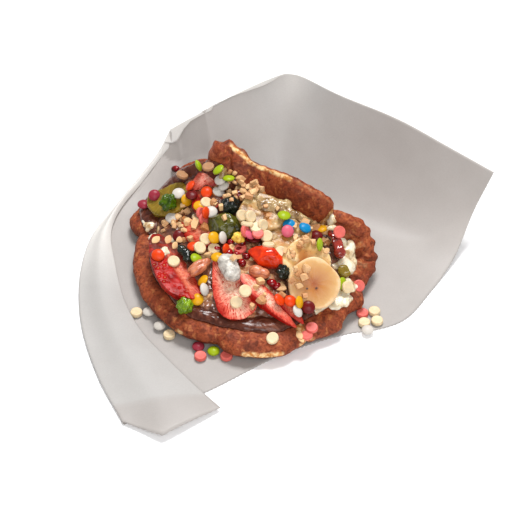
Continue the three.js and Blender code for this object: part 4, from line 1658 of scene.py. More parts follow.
@dataclass(frozen=True)
class BananaSlice:
    """A round slice of banana, not quite even, with rounded rims."""

    name: str
    seat: Seat
    diameter: float
    finish: Finish = BANANA
    thickness: float = 8

    def build(self) -> Object:
        """Returns the slice."""
        bm = bmesh.new()
        radius = self.diameter / 2
        bmesh.ops.create_cone(bm, cap_ends=True, segments=72, radius1=radius * 0.985, radius2=radius,
                              depth=self.thickness * 0.9)
        bevelled(bm, rims_of(bm), 1.1, 4)
        for side in (1, -1):
            lid = max((f for f in bm.faces if f.normal.z * side > 0.9), key=lambda face: len(face.verts))
            for ring in range(6):
                bmesh.ops.inset_region(bm, faces=[lid], thickness=radius * 0.13, use_even_offset=True)
        for vert in bm.verts:
            x, y, z = vert.co
            turn, reach = atan2(y, x), hypot(x, y) / radius
            uneven = 0.98 + 0.03 * cos(3 * turn + 0.6) + 0.025 * cos(5 * turn + self.diameter)
            dish = -0.5 * smooth(reach, 0.55, 0.1) + 0.35 * rough(Vector((x, y, self.diameter)), 6)
            z += copysign(1, z) * dish * smooth(1 - reach, 0, 0.15)
            vert.co = Vector((x * uneven, y * uneven, z))
        self.seat.settle(bm, (radius, radius, self.thickness / 2))
        return finished(bm, self.name + "_fruit", [self.finish], [self.name])


@dataclass(frozen=True)
class KiwiPiece:
    """A slab of kiwi with one straight cut side."""

    name: str
    seat: Seat
    width: float
    thickness: float
    # The way that the straight side faces, and how far it lies from the middle.
    side: Point
    cut: float
    grain: float = 0.7

    def build(self) -> Object:
        """Returns the piece."""
        bm = bmesh.new()
        bmesh.ops.create_cone(bm, cap_ends=True, segments=40, radius1=1, radius2=1, depth=self.thickness)
        bmesh.ops.scale(bm, vec=(self.seat.half, self.width / 2, 1), verts=bm.verts)
        straight = Vector(self.side).normalized()
        sliced(bm, straight * self.cut, straight)
        bmesh.ops.triangulate(bm, faces=bm.faces)
        bm = melted(bm, self.grain, 4)
        wobbled(bm, 7, 0.7, self.width)
        self.seat.settle(bm, (self.seat.half, self.width / 2, self.thickness / 2))
        return finished(bm, self.name + "_fruit", [KIWI], [self.name])


# ---------------- moulded lumps
@dataclass(frozen=True)
class Lump:
    """A jelly, nut or sugar piece, melted together from round lumps in its own axes."""

    name: str
    seat: Seat
    finish: Finish
    slot: str
    lumps: tuple[tuple[Point, Point], ...]
    grain: float = 0.55
    dents: float = 0.3
    dent_size: float = 4
    # Flat facets cut into the lumps: the way that each faces, and how far it lies from the middle.
    facets: tuple[tuple[Point, float], ...] = ()

    def build(self) -> Object:
        """Returns the piece."""
        bm = fused(self.lumps, self.grain)
        if self.facets:
            for way, reach in self.facets:
                flat = Vector(way).normalized()
                sliced(bm, flat * reach, flat)
            bmesh.ops.triangulate(bm, faces=bm.faces)
            bm = melted(bm, self.grain, 1)
        wobbled(bm, self.dent_size, self.dents, sum(map(ord, self.name)) % 97)
        self.seat.settle(bm, (self.seat.half, self.seat.half, self.seat.half))
        return finished(bm, self.name + "_piece", [self.finish], [self.name])


@dataclass(frozen=True)
class Dollops:
    """Soft dabs of cream that lie on what is under them."""

    name: str
    finish: Finish
    slot: str
    # Each dab's place and half width.
    dabs: tuple[tuple[float, float, float, float], ...]
    flat: float = 0.65
    wobble: float = 0.7
    # Each dab is a few lumps beside its middle. Their sizes are shares of the dab's half width.
    lumps: int = 3
    aside: float = 0.55
    sizes: Plan = (0.75, 1.05)
    long: float = 1.3
    wide: float = 0.75

    def build(self, ground: "Ground") -> Object:
        """Returns the dabs.

        Args:
            ground: The surfaces that they lie on.
        """
        draw = random.Random(len(self.dabs))
        bm = bmesh.new()
        for x, y, z, half in self.dabs:
            hit, normal = ground.met(Vector((x, y, z)), -FRONT)
            for _ in range(self.lumps):
                way = any_way(draw)
                aside = (way - normal * way.dot(normal)).normalized() * half * self.aside
                size = half * draw.uniform(*self.sizes)
                place = Matrix.Translation(hit + aside) @ turned_to(normal, draw.uniform(0, 3.1))
                shape = Matrix.Diagonal((size * self.long, size * self.wide, size * self.flat, 1))
                bmesh.ops.create_icosphere(bm, subdivisions=3, radius=1, matrix=place @ shape)
        bm = melted(bm, 0.45, 16)
        wobbled(bm, 6, self.wobble)
        return finished(bm, self.name, [self.finish])


def berry_beads(half: Point, beads: int, bead: float) -> tuple[tuple[Point, Point], ...]:
    """Returns small round lumps spread evenly over an oval body.

    Args:
        half: The body's half sizes.
        beads: How many there are.
        bead: The radius of each.

    Returns:
        The body and its beads, as middles and half sizes.
    """
    golden = pi * (3 - sqrt(5))
    lumps = [((0.0, 0.0, 0.0), tuple(h * 0.85 for h in half))]
    for k in range(beads):
        z = 1 - 2 * (k + 0.5) / beads
        ring = sqrt(1 - z * z)
        middle = (half[0] * ring * cos(golden * k), half[1] * ring * sin(golden * k), half[2] * z)
        lumps.append((tuple(0.8 * c for c in middle), (bead, bead, bead)))
    return tuple(lumps)


def toppings() -> list:
    """Returns every large topping, in the places that the model gives them."""
    pieces: list = [
        BananaSlice("banana_1", Seat.round((32, -41, 27), 30, (0.1, -0.65, 0.75)), 30),
        BananaSlice("banana_2", Seat.round((28, -26, 28.5), 29, (0.15, -0.5, 0.85)), 29, CREAMED_BANANA),
        BananaSlice("banana_3", Seat.round((17, -8, 34), 30, (0, -0.35, 0.93)), 30, GLAZED_BANANA),
        BananaSlice("banana_4", Seat.round((3, 3, 39), 28, (0, -0.3, 0.95)), 28, GLAZED_BANANA),
        StrawberryPiece("strawberry_1", Seat((-35, -46, 21), (-60, 2, 26), (0.36, -0.35, 0.86)), 25, 11,
                        taper=0.25, point=0.1, finish=DIPPED_BERRY),
        StrawberryPiece("strawberry_2", Seat((-6, -60, 19), (-24, -20, 31)), 25, taper=0.35, point=0.7,
                        finish=PALE_BERRY),
        StrawberryPiece("strawberry_3", Seat((-8, -37, 31), (22, -65, 17), (0.35, -0.1, 0.9)), 12, taper=0.3,
                        point=0.3, finish=PALE_BERRY),
        StrawberryPiece("strawberry_4", Seat((12, -47, 26), (26, -62, 17)), 7, depth=4),
        StrawberryPiece("strawberry_5", Seat((-24, -10, 31), (-43, 12, 27)), 18),
        StrawberryPiece("strawberry_6", Seat((-24, 12, 36), (-37, 31, 34)), 17, finish=DIPPED_BERRY),
        StrawberryPiece("strawberry_7", Seat((-20, 39, 45), (-39, 31, 35)), 13, depth=5, finish=RIPE_BERRY),
        KiwiPiece("kiwi_1", Seat((-65, 36, 21), (-39, 31, 30)), 24, 5, (-0.3, 1, 0.1), 7.5),
        KiwiPiece("kiwi_2", Seat.round((51, -22, 18.5), 8), 8, 4, (1, 0.5, 0.1), 2.6),
    ]
    pieces += [
        Lump("jelly_red", Seat((-5, -20, 34), (17, -30, 32)), RED_JELLY, "jelly_red",
             (((0, 0, 0), (12.6, 7.6, 5.6)), ((-8, 2, 0.5), (5, 5.6, 4.6)), ((7, -0.5, 0.4), (6.4, 6, 5))),
             dents=0.35, dent_size=7,
             facets=(((-0.2, 0.7, 0.75), 5.2), ((0.25, -0.75, 0.65), 4.6), ((-0.8, -0.35, 0.5), 8.6),
                     ((0.85, 0.25, 0.45), 8.8), ((0.5, 0.5, 0.7), 6.4), ((-0.45, -0.2, 0.85), 4.9),
                     ((0.35, 0.95, 0), 6.2), ((-0.6, 0.8, 0.1), 7.4), ((0.3, -0.95, 0), 5.6),
                     ((-0.5, -0.85, 0), 6.6))),
        Lump("jelly_bar", Seat((44, 2, 31), (49, -17, 24)), WINE_JELLY, "jelly_dark_red",
             (((-6.5, 0, 0), (3.6, 3.6, 3)), ((0, 0.2, 0.2), (6.5, 3.3, 2.9)), ((6.2, 0, 0), (4, 3.7, 3.1)),
              ((1, -1.8, 1.9), (6.5, 1.1, 1.6)), ((1.5, 2, 1.7), (6, 1.1, 1.5)),
              ((-6, 1.2, 2), (2, 1.6, 1.4))), dents=0.3, dent_size=3),
        Lump("jelly_green", Seat((-28, -1, 36), (-6, -3, 36)), MOSS_JELLY, "jelly_green",
             (((0, 0.5, 0), (12.4, 8.8, 5.4)), ((-7, 3, 1), (5.4, 5.4, 4.6)), ((6, 1.5, 1), (6, 6.4, 4.6))),
             dents=0.45, dent_size=7,
             facets=(((-0.35, 0.75, 0.6), 6.6), ((0.2, -0.55, 0.8), 4.8), ((0.6, 0.45, 0.65), 6.4),
                     ((-0.75, -0.25, 0.6), 6.6), ((0.75, -0.4, 0.5), 8.2), ((-0.35, -0.9, 0.1), 6.6),
                     ((0.45, -0.9, 0.05), 7.8), ((0.25, 0.95, 0.1), 7), ((-0.1, 0.15, 0.95), 4.7))),
        Lump("jelly_green_2", Seat.round((-40, -49.5, 18.5), 10, (0.1, -0.62, 0.78)), LEAF_JELLY,
             "jelly_green", berry_beads((4.2, 4.2, 3.6), 14, 1.9), grain=0.4, dents=0.3, dent_size=2.4),
        Lump("jelly_green_3", Seat.round((-52, 25, 30), 10), FERN_JELLY, "jelly_green",
             berry_beads((4.6, 5.0, 3.8), 11, 2.1), dents=0.25, dent_size=3),
        Lump("jelly_black", Seat.round((-15, 10, 41), 12), NIGHT_JELLY, "jelly_black",
             berry_beads((5.4, 5.2, 4.6), 22, 1.9), dents=0.15, dent_size=2),
        Lump("jelly_black_2", Seat((-44, -11, 28), (-38, -22, 27)), NIGHT_JELLY, "jelly_black",
             (((-4, 0, 0), (2.6, 2.8, 2.8)), ((0, 0.5, 0.5), (3, 3, 3)), ((4, 0, 0), (2.8, 2.8, 2.6)),
              ((2, 1.6, 1.4), (1.5, 1.5, 1.6)), ((-2.4, -1.5, 1.5), (1.6, 1.5, 1.5))),
             dents=0.35, dent_size=2),
        Lump("jelly_dark_2", Seat((14, -30, 32), (16, -39, 29)), NIGHT_JELLY, "jelly_black",
             berry_beads((4.2, 3.4, 3.1), 12, 1.7), dents=0.3, dent_size=2),
        Lump("pebble", Seat((-18, -25, 35), (-12, -42, 31)), SUGAR, "sugar_pebble",
             (((-3.6, 0, 0), (5.4, 5.6, 4.2)), ((0.6, 0, 0), (6, 5.4, 4.2)), ((4.6, 0.2, 0), (4.6, 4.8, 3.8)),
              ((-4.4, -2.6, 2.2), (2.6, 2.0, 2.0)), ((-3.4, 2.4, 2.2), (2.8, 2.2, 2.2)),
              ((1.6, -1.8, 2.6), (2.6, 2.2, 1.8)), ((3.4, 2.2, 2.4), (2.4, 2, 1.8)),
              ((6, -1.4, 2), (2, 2, 1.8))), dents=0.55, dent_size=3.6),
        Lump("peanut_1", Seat((-38, -33, 27), (-26, -24, 30)), PEANUT, "peanut",
             (((-1, 1.5, 0), (6.4, 2.5, 2.9)), ((-1.4, -1.5, 0), (6, 2.3, 2.9)),
              ((5, 0, 0), (2.7, 2.4, 2.4))), dents=0.3),
        Lump("peanut_2", Seat((-4, -33, 31), (8, -37, 30)), PEANUT, "peanut",
             (((-2, 0, 0), (4.4, 3.8, 3.6)), ((2.6, 0, 0), (3.6, 3.1, 3.1))), dents=0.25),
        Lump("banana_chip", Seat.round((-10, -12, 36), 8), CHIP, "banana",
             berry_beads((3.6, 3.5, 2.2), 9, 1.4), dents=0.3, dent_size=2),
        Lump("cherry", Seat.round((-10, 18, 42), 7.5), GARNET_JELLY, "cherry",
             (((0, 0, 0), (3.5, 3.3, 3.1)), ((2, 1, 0.6), (1.8, 1.8, 1.8)))),
    ]
    return pieces


# ---------------- small things
ELEVATION = radians(43.5)
FRONT = Vector((0, -cos(ELEVATION), sin(ELEVATION)))
UPWARD = Vector((0, sin(ELEVATION), cos(ELEVATION)))
RIGHTWARD = Vector((1, 0, 0))


class Ground:
    """What small things fall on: the surface of the pieces made so far."""

    def __init__(self, pieces: Iterable[Object]) -> None:
        """Gathers the surfaces.

        Args:
            pieces: The pieces to fall on.
        """
        verts: list[Vector] = []
        faces: list[tuple[int, ...]] = []
        depsgraph = bpy.context.evaluated_depsgraph_get()
        for piece in pieces:
            mesh = piece.evaluated_get(depsgraph).data
            start = len(verts)
            verts += [v.co / MM for v in mesh.vertices]
            faces += [tuple(start + i for i in p.vertices) for p in mesh.polygons]
        self.tree = BVHTree.FromPolygons(verts, faces)

    def met(self, place: Vector, way: Vector) -> tuple[Vector, Vector]:
        """Returns where a thing that comes in along a direction meets the surface, and the normal there.

        Args:
            place: A place near the surface.
            way: The direction.

        Returns:
            The place on the surface and the normal.
        """
        hit, normal, _, _ = self.tree.ray_cast(place - way * 60, way)
        if hit is None:
            return place, Vector((0, 0, 1))
        return hit, normal if normal.dot(way) < 0 else -normal


def turned_to(normal: Vector, spin: float) -> Matrix:
    """Returns the turn that brings a thing's own +Z to a normal, after a spin about it."""
    return normal.to_track_quat("Z", "Y").to_matrix().to_4x4() @ Matrix.Rotation(spin, 4, "Z")


@dataclass
class Scatter:
    """One kind of small thing, joined into a single piece."""

    name: str
    finishes: Sequence[Finish]
    slot: str
    shapes: Sequence[Mesh]
    crease: float | None = None
    bm: BMesh = field(default_factory=bmesh.new)
    count: int = 0

    def __post_init__(self) -> None:
        """Adds the layer that holds each thing's own tint."""
        self.tint = self.bm.verts.layers.float.new("tint")

    def add(self, place: Matrix, finish: int = 0, shape: int = 0, tint: float = 0.5) -> None:
        """Adds one thing.

        Args:
            place: Its turn, size and place.
            finish: Which of the finishes it has.
            shape: Which of the shapes it is.
            tint: Its own shade, from 0 to 1.
        """
        verts, faces = len(self.bm.verts), len(self.bm.faces)
        self.bm.from_mesh(self.shapes[shape % len(self.shapes)])
        self.bm.verts.ensure_lookup_table()
        self.bm.faces.ensure_lookup_table()
        added = self.bm.verts[verts:]
        for vert in added:
            vert[self.tint] = tint
        bmesh.ops.transform(self.bm, matrix=place, verts=added)
        for face in self.bm.faces[faces:]:
            face.material_index = finish
        self.count += 1

    def build(self, replaced: Sequence[str] = ()) -> Object:
        """Returns the joined piece."""
        LOG.info("%s holds %d", self.name, self.count)
        return finished(self.bm, self.name, self.finishes, replaced, self.crease)


def lentil_shape(diameter: float = 7.4, thickness: float = 3.5) -> Mesh:
    """Returns a sugar-shelled lentil about its own middle.

    Args:
        diameter: Its width.
        thickness: Its height.

    Returns:
        The mesh.
    """
    bm = bmesh.new()
    bmesh.ops.create_uvsphere(bm, u_segments=24, v_segments=14, radius=1)
    for vert in bm.verts:
        reach = hypot(vert.co.x, vert.co.y)
        full = vert.co.z * (1 - 0.14 * reach)
        vert.co = Vector((vert.co.x * diameter / 2, vert.co.y * diameter / 2, full * thickness / 2))
    return kept(bm, "lentil")


def drop_shape(diameter: float = 7.4, thickness: float = 1.8) -> Mesh:
    """Returns a flat pressed drop about its own middle.

    Args:
        diameter: Its width.
        thickness: Its height.

    Returns:
        The mesh.
    """
    bm = bmesh.new()
    bmesh.ops.create_cone(bm, cap_ends=True, segments=28, radius1=diameter / 2, radius2=diameter / 2 - 0.3,
                          depth=thickness)
    bevelled(bm, rims_of(bm), 0.55, 3)
    lid = max((f for f in bm.faces if f.normal.z > 0.9), key=lambda face: face.calc_area())
    bmesh.ops.inset_region(bm, faces=[lid], thickness=0.3, depth=-0.05, use_even_offset=True)
    return kept(bm, "drop")


def nut_shape(seed: int) -> Mesh:
    """Returns a chip of chopped nut, about 1 across, with a seed of its own.

    Args:
        seed: The seed of its random cuts.

    Returns:
        The mesh.
    """
    draw = random.Random(seed)
    bm = bmesh.new()
    bmesh.ops.create_cube(bm, size=0.95)
    bmesh.ops.scale(bm, vec=(1.0, draw.uniform(0.6, 0.9), draw.uniform(0.45, 0.75)), verts=bm.verts)
    for _ in range(5):
        way = any_way(draw).normalized()
        sliced(bm, way * draw.uniform(0.3, 0.4), way)
    bmesh.ops.dissolve_limit(bm, angle_limit=radians(12), verts=bm.verts, edges=bm.edges)
    bevelled(bm, bm.edges[:], 0.02, 1)
    return kept(bm, "nut_chip")


def almond_shape() -> Mesh:
    """Returns a thin pointed slice of almond, 1 long."""
    bm = bmesh.new()
    bmesh.ops.create_uvsphere(bm, u_segments=22, v_segments=10, radius=1)
    for vert in bm.verts:
        x, y, z = vert.co
        narrow = (1 - abs(x) ** 2.2) ** 0.35
        vert.co = Vector((x * 0.5, y * 0.3 * narrow, copysign(abs(z) ** 0.5, z) * 0.1))
    return kept(bm, "almond_slice")


def aril_shape() -> Mesh:
    """Returns a plump drop-shaped aril, 1 long."""
    bm = bmesh.new()
    bmesh.ops.create_uvsphere(bm, u_segments=16, v_segments=12, radius=0.5)
    for vert in bm.verts:
        vert.co.x *= 0.78 - 0.22 * vert.co.z
        vert.co.y *= 0.7 - 0.2 * vert.co.z
    return kept(bm, "aril")


@dataclass(frozen=True)
class Spot:
    """Where a small thing lies: its place, how far it leans back from facing the front, and which way."""

    x: float
    y: float
    z: float
    lean: float = 0
    turn: float = 0

    def axis(self) -> Vector:
        """Returns the way that the thing's flat side faces."""
        lean, turn = radians(self.lean), radians(self.turn)
        aside = RIGHTWARD * cos(turn) + UPWARD * sin(turn)
        return FRONT * cos(lean) + aside * sin(lean)


@dataclass
class Sweets:
    """The candies that lie on the food, each at its own spot."""

    ground: Ground
    laid: list[tuple[Vector, float]] = field(default_factory=list)

    def rest(self, spot: Spot, radius: float, half: float, sunk: float = 0.6) -> Vector:
        """Returns the middle of a round thing that lies at a spot.

        Args:
            spot: The spot.
            radius: The thing's radius.
            half: Half its thickness.
            sunk: The share of its height by which it stands off the surface.

        Returns:
            The place of its middle.
        """
        hit, normal = self.ground.met(Vector((spot.x, spot.y, spot.z)), -FRONT)
        facing = abs(spot.axis().dot(normal))
        support = facing * half + sqrt(max(0, 1 - facing**2)) * radius
        place = hit + FRONT * support * sunk / max(0.55, normal.dot(FRONT))
        for other, size in self.laid:
            apart = place - other
            aside = (apart - FRONT * apart.dot(FRONT)).length
            if aside < 0.8 * (radius + size) and abs(apart.dot(FRONT)) < half + 0.8:
                place = place + FRONT * (half + 1.0) * (1 - aside / (radius + size))
        self.laid.append((place, radius))
        return place

    def put(self, scatter: Scatter, spots: Iterable[Spot], finish: int, size: Plan,
            draw: random.Random) -> None:
        """Lays one kind of candy.

        Args:
            scatter: The piece that gathers them.
            spots: Where they lie.
            finish: The finish that they have.
            size: Their radius and half thickness.
            draw: The source of their small differences.
        """
        for spot in spots:
            place = self.rest(spot, *size)
            size_shares = draw.uniform(0.95, 1.05), draw.uniform(0.95, 1.03), draw.uniform(0.9, 1.1)
            scale = Matrix.Diagonal((*size_shares, 1))
            turn = turned_to(spot.axis(), draw.uniform(0, 6.3))
            scatter.add(Matrix.Translation(place) @ turn @ scale, finish, draw.randrange(9))


# The radius and half thickness of a candy.
LENTIL_SIZE: Plan = (3.7, 1.75)
DROP_SIZE: Plan = (3.7, 1.05)
# A candy's place, how many degrees it leans back from facing the front, and which way.
Lying = tuple[int, int, int, int, int]
SHELLED: dict[Shell, tuple[Lying, ...]] = {
    Shell.MAGENTA: (
        (-61, 36, 26, 15, 90), (-68, 39, 16, 40, 90), (-29, 10, 30, 50, 0),
    ),
    Shell.WHITE: (
        (-46, 34, 29, 32, 90), (-21, 31, 42, 35, 120), (-19, 30, 38, 50, 125), (-22, 23, 40, 45, 60),
        (-26, 16, 30, 22, 90), (-50, 20, 22, 30, 80), (-19, -9, 33, 60, 8), (-29, -41, 23, 58, 15),
        (23, -56, 21, 58, 30),
    ),
    Shell.YELLOW: (
        (-41, 28, 29, 30, 0), (-33, 16, 35, 35, 90), (-24, -8, 32, 30, 40), (-22, -23, 31, 48, 90),
        (-30, -36, 25, 60, 140), (-33, -45, 19, 20, 90), (38, 3, 29, 55, 100), (24, -52, 24, 62, 5),
    ),
    Shell.ORANGE: (
        (-29, 25, 38, 25, 90), (-39, 36, 33, 62, 140), (-29, 11, 34, 60, 0), (-56, -14, 24, 20, 90),
        (-36, -11, 28, 45, 90), (-17, -17, 31, 62, 0), (13, -51, 25, 50, 40), (19, -51, 24, 30, 70),
    ),
    Shell.LIME: (
        (-22, 32, 49, 60, 130), (-16, 28, 46, 66, 90), (-34, 46, 40, 84, 25), (-34, -19, 26, 50, 55),
        (16, 0, 42, 50, 80), (36, -18, 36, 68, 0), (49, -29, 16, 50, 0),
    ),
    Shell.BLUE: (
        (19, -5, 39, 25, 90), (28, -7, 39, 45, 60),
    ),
    Shell.ROSE: (
        (18, -9, 38, 15, 60), (-4, -8, 35, 55, 40),
    ),
    Shell.MAROON: (
        (-45, 2, 24, 10, 90), (35, -2, 28, 30, 90), (29, -54, 22, 10, 90), (-38, 27, 34, 40, 90),
        (-1, -10, 33, 58, 85),
    ),
}
PRESSED: dict[Couverture, tuple[Lying, ...]] = {
    Couverture.CREAM: (
        (-29, 18, 36, 32, 45), (-34, 14, 28, 62, 75), (-32, -13, 29, 35, 45), (-24, -13, 28, 20, 70),
        (-29, -8, 31, 22, 45), (-8, 0, 42, 30, 10), (-3, -1, 42, 35, 10), (4, -6, 40, 40, 0),
        (0, -8, 40, 40, 85), (6, -12, 37, 12, 90), (-5, -5, 40, 75, 85), (7, -17, 35, 72, 90),
        (14, -23, 35, 25, 100), (-11, -51, 23, 8, 0), (-6, -47, 28, 25, 60), (-47, -18, 23, 28, 100),
        (52, -32, 16, 28, 0), (9, -69, 13, 30, 90),
    ),
    Couverture.PINK: (
        (-32, 11, 34, 50, 0), (-6, -8, 37, 55, 10), (48, 2, 27, 15, 0), (59, -26, 11, 15, 0),
        (31, -60, 12, 40, 90), (28, -64, 10, 50, 90), (1, -11, 38, 40, 90), (-9, -17, 32, 45, 100),
        (-30, 11, 29, 40, 0),
    ),
    Couverture.SMEARED_AND_SHADED: (
        (-28, 36, 48, 45, 100), (-44, 46, 33, 55, 70),
    ),
}
WHITE_DABS: tuple[tuple[float, float, float, float], ...] = (
    (54, -3, 19, 3.8), (54, -9, 18, 4.2), (52, -15, 18, 4.0), (55, -12, 16, 3.8), (54, -18, 16, 3.4),
    (47, -19, 20, 2.8), (50, -35, 15, 5.2), (48, -40, 14, 4.2), (52, -30, 15, 4.2), (45, -44, 14, 3.4),
    (44, 8, 30, 3), (45, 4, 28, 2.6), (-64, 20, 16, 2.6), (-61, 14, 13, 2.4), (-68, 24, 15, 1.8),
    (-62, 18, 18, 2), (-52, -12, 25, 2.4), (-48, -4, 26, 2.2),
)
KHAKI_DABS: tuple[tuple[float, float, float, float], ...] = (
    (0, 20, 41, 3.4), (6, 16, 39, 4), (12, 12, 38, 4.2), (18, 9, 37, 4.2), (24, 6, 36, 3.8),
    (30, 4, 34, 3.4), (36, 2, 31, 3), (-8, 26, 42, 3), (8, 8, 40, 4), (-18, 36, 44, 3),
)
# Chopped nuts: the middle of each heap, its radius, and how many chips lie there.
NUT_HEAPS: tuple[tuple[int, int, int, float, int], ...] = (
    (-44, 13, 26, 6, 9), (-50, 9, 24, 5, 5), (-42, 6, 28, 4, 5), (-42, 21, 27, 5, 6),
    (-9, 25, 45, 4, 5), (-4, 21, 42, 5, 7), (1, 20, 44, 4, 5), (-7, 18, 41, 5, 6), (9, 3, 43, 5, 3),
    (25, -10, 38, 6, 6), (27, -17, 37, 6, 5), (22, -20, 37, 5, 3), (32, -14, 35, 5, 3),
    (34, 0, 31, 4, 4), (38, -14, 34, 5, 3), (17, -26, 34, 4, 3), (-38, -7, 27, 4, 4),
    (-20, 20, 38, 6, 6), (-14, 22, 40, 5, 6), (-15, 32, 42, 6, 6), (-25, 26, 36, 5, 4),
    (30, 2, 34, 4, 2), (-11, -20, 31, 4, 4), (2, -44, 27, 5, 2),
)
# The shortest, the longest and the most common length of those chips.
CHIP_SIZES = (1.9, 5.4, 2.8)
# Single larger chips: place and length.
NUT_CHIPS: tuple[tuple[int, int, int, float], ...] = (
    (28, -38, 36, 5), (24, -40, 34, 4), (27, -41, 33, 5.2), (20, -43, 32, 4.5), (24, -45, 30, 4.2),
    (27, -49, 26, 4.2), (22, -38, 36, 3.2), (-29, 0, 32, 6), (14, -49, 26, 5), (3, -52, 25, 5.2),
    (-2, -53, 22, 4.6), (2, -41, 29, 6), (-27, -20, 29, 4.5), (-18, 4, 36, 4), (-40, 10, 27, 5.5),
    (35, 1, 31, 6.5), (40, 0, 30, 6), (28, 2, 34, 5.5), (37, -10, 32, 6), (41, -12, 31, 5),
    (33, -9, 33, 4.5), (-35, 5, 30, 6.5), (-34, 11, 30, 5), (-46, 16, 26, 5), (-1, 24, 46, 5.5),
    (3, 20, 45, 5), (-9, 27, 47, 5.5),
)
ALMONDS: tuple[tuple[int, int, int, int, int, float], ...] = (
    (13, -44, 28, 35, 95, 9.5), (24, -65, 11, 45, 100, 6.5), (25, -67, 10, 50, 80, 5.5),
    (-51, -1, 24, 40, 60, 7), (-44, -3, 26, 40, 20, 6.5), (-47, -8, 26, 45, 30, 6),
    (40, -20, 33, 45, 30, 5.5), (-58, 3, 20, 40, 60, 7),
)
ARIL_SIZES: Plan = (5.0, 6.5)
ARILS: tuple[tuple[int, int, int], ...] = (
    (-14, -14, 33), (-10, -22, 32), (-7, -27, 31), (-5, -22, 31), (-16, -20, 31), (-8, -14, 33),
    (-5, -11, 34), (9, -39, 27), (12, -41, 26), (-9, -18, 32), (-22, -16, 30), (-50, 77, 13),
)


def build_small_things(ground: Ground) -> list[Object]:
    """Lays every small thing on the food.

    Args:
        ground: The surfaces that they fall on.

    Returns:
        The pieces, one for each kind.
    """
    draw = random.Random(7)
    sweets = Sweets(ground)
    shells = list(Shell)
    lentils = Scatter("shelled_lentils", [shell.value for shell in shells], "candy_white", [lentil_shape()])
    for shell, spots in SHELLED.items():
        sweets.put(lentils, [Spot(*spot) for spot in spots], shells.index(shell), LENTIL_SIZE, draw)
    colours = list(Couverture)
    drops = Scatter("pressed_drops", [colour.value for colour in colours], "candy_beige", [drop_shape()], 40)
    for colour, spots in PRESSED.items():
        sweets.put(drops, [Spot(*spot) for spot in spots], colours.index(colour), DROP_SIZE, draw)
    arils = Scatter("garnet_arils", [GARNET_JELLY], "cherry", [aril_shape()])
    for x, y, z in ARILS:
        hit, _ = ground.met(Vector((x + draw.uniform(-1, 1), y + draw.uniform(-1, 1), z)), -FRONT)
        way = any_way(draw).normalized()
        size = draw.uniform(*ARIL_SIZES)
        # One lies on the paper, and so stands off by half its length.
        off = 0.8 if z > 15 else 0.5 * size
        arils.add(Matrix.Translation(hit + FRONT * off) @ turned_to(way, 0) @ Matrix.Scale(size, 4))
    nuts = Scatter("chopped_nuts", [NUT], "topping_mix", [nut_shape(seed) for seed in range(9)], 35)
    for x, y, z, radius, count in NUT_HEAPS:
        for _ in range(count):
            reach = radius * sqrt(draw.random())
            turn = draw.uniform(0, 2 * pi)
            near = Vector((x, y, z)) + RIGHTWARD * reach * cos(turn) + UPWARD * reach * sin(turn)
            lay_chip(nuts, ground, near, draw.triangular(*CHIP_SIZES), draw)
    for x, y, z, size in NUT_CHIPS:
        lay_chip(nuts, ground, Vector((x, y, z)), size, draw)
    almonds = Scatter("almond_slices", [NUT], "topping_mix", [almond_shape()], 40)
    for x, y, z, lean, turn, size in ALMONDS:
        spot = Spot(x, y, z, lean, turn)
        place = sweets.rest(spot, size * 0.3, size * 0.1)
        almonds.add(Matrix.Translation(place) @ turned_to(spot.axis(), draw.uniform(-0.5, 0.5))
                    @ Matrix.Scale(size, 4), tint=draw.uniform(0.6, 0.9))
    return [lentils.build(), drops.build(), arils.build(), nuts.build(), almonds.build()]


def lay_chip(nuts: Scatter, ground: Ground, near: Vector, size: float, draw: random.Random) -> None:
    """Lays one chip of nut.

    Args:
        nuts: The piece that gathers the chips.
        ground: What it falls on.
        near: Where it falls.
        size: Its length.
        draw: The source of its turn and shade.
    """
    hit, normal = ground.met(near, -FRONT)
    way = (normal + 0.9 * any_way(draw)).normalized()
    place = hit + (FRONT + normal).normalized() * size * 0.22
    tint = draw.choice((0.1, 0.35, 0.6, 0.7, 0.8, 0.9, 1.0)) + draw.uniform(-0.08, 0.08)
    nuts.add(Matrix.Translation(place) @ turned_to(way, draw.uniform(0, 6.3)) @ Matrix.Scale(size, 4),
             shape=draw.randrange(9), tint=tint)


# The width and thickness of a candy that lies on the paper.
FALLEN_LENTIL: Plan = (7, 3.8)
FALLEN_DROP: Plan = (7.2, 2.4)


@dataclass(frozen=True)
class Fallen:
    """A candy that lies beside the waffle on the paper."""

    node: str
    finish: Finish
    slot: str
    lentil: bool

    def build(self) -> Object:
        """Returns the candy, in the middle of its node's box, at the fixed size that FALLEN_LENTIL or
        FALLEN_DROP gives.
        """
        low, high = (Vector(corner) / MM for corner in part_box(self.node))
        mesh = lentil_shape(*FALLEN_LENTIL) if self.lentil else drop_shape(*FALLEN_DROP)
        bm = bmesh.new()
        bm.from_mesh(mesh)
        middle = (low + high) / 2
        bmesh.ops.translate(bm, vec=middle, verts=bm.verts)
        return finished(bm, self.node + "_candy", [self.finish], [self.node], crease=40)


def fallen_candies() -> list[Fallen]:
    """Returns the candies that lie beside the waffle."""
    white = (Shell.WHITE.value, "candy_white", True)
    lime = (Shell.LIME.value, "candy_lime", True)
    magenta = (Shell.MAGENTA.value, "candy_magenta", True)
    cream = (Couverture.CREAM.value, "candy_beige", False)
    pink = (Couverture.PINK.value, "candy_pink", False)
    kinds = (white, cream, white, cream, magenta, pink, lime, pink, pink, cream, cream, cream, white)
    return [Fallen(f"fallen_candy_{k}", *kind) for k, kind in enumerate(kinds, 1)]


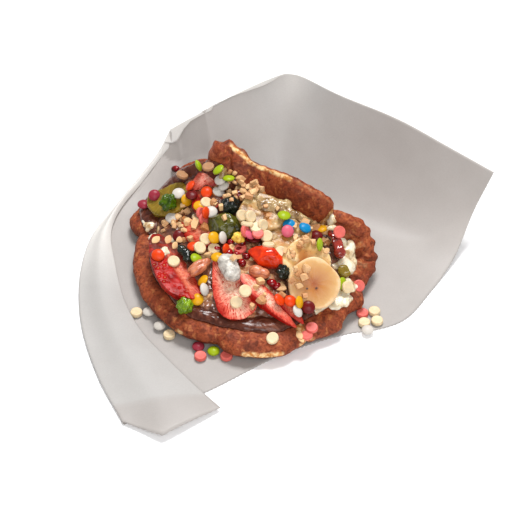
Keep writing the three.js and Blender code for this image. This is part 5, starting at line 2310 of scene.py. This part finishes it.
def main() -> None:
    """Builds the pieces in order and reports each."""
    logging.basicConfig(level=logging.INFO, format="%(message)s")
    build_studio()
    waffle = Waffle()
    made = [
        waffle.build(),
        Spread("chocolate_layer", CHOCOLATE, "chocolate", "chocolate_spread", waffle, (106, 324), 0).build(),
        Spread("cream_layer", CREAM, "cream", "white_cream", waffle, (-36, 107), 2).build(),
        Heap(waffle).build(),
    ]
    made += [topping.build() for topping in toppings()]
    ground = Ground(made)
    made.append(Dollops("white_dabs", CREAM, "cream", WHITE_DABS, 0.6, 0.4).build(ground))
    made.append(Dollops("khaki_dabs", STAINED_AND_SHADED_CREAM, "cream", KHAKI_DABS, 0.5, 0.9).build(ground))
    made.append(OpenedBag().build())
    build_small_things(Ground(made))
    for candy in fallen_candies():
        candy.build()


# Each lamp's name, its place and size in metres, and its power in watts.
LAMPS = (("key", (0.1, 0.5, 1.15), 0.5, 17.0), ("fill", (0.15, -0.9, 0.8), 0.9, 8.5))
TARGET = Vector((-0.6, 11.3, 0)) * MM
CAMERA_DISTANCE = 0.85


def build_studio() -> None:
    """Sets up the floor, the light and the camera."""
    bm = bmesh.new()
    bmesh.ops.create_grid(bm, x_segments=1, y_segments=1, size=4)
    mesh = kept(bm, "studio_floor")
    mesh.materials.append(StudioFloor("studio_floor").material())
    mesh.transform(Matrix.Translation((0, 0, -0.05 * MM)))
    floor = bpy.data.objects.new("studio_floor", mesh)
    link(floor)
    world = bpy.data.worlds.new("studio")
    world.use_nodes = True
    world.node_tree.nodes["Background"].inputs["Color"].default_value = (1.0, 1.0, 1.0, 1)
    world.node_tree.nodes["Background"].inputs["Strength"].default_value = 0.4
    bpy.context.scene.world = world
    for name, place, size, power in LAMPS:
        lamp = bpy.data.lights.new(name, "AREA")
        lamp.shape = "DISK"
        lamp.size = size
        lamp.energy = power
        light = bpy.data.objects.new(name, lamp)
        light.location = place
        light.rotation_euler = (-Vector(place)).to_track_quat("-Z", "Y").to_euler()
        link(light)
    lens = bpy.data.cameras.new("camera")
    lens.lens = 100
    lens.sensor_width = 36
    camera = bpy.data.objects.new("camera", lens)
    camera.location = TARGET + FRONT * CAMERA_DISTANCE
    camera.rotation_euler = (radians(90) - ELEVATION, 0, 0)
    link(camera)
    bpy.context.scene.camera = camera
    bpy.context.scene.view_settings.view_transform = "Standard"


if __name__ == "__main__":
    main()
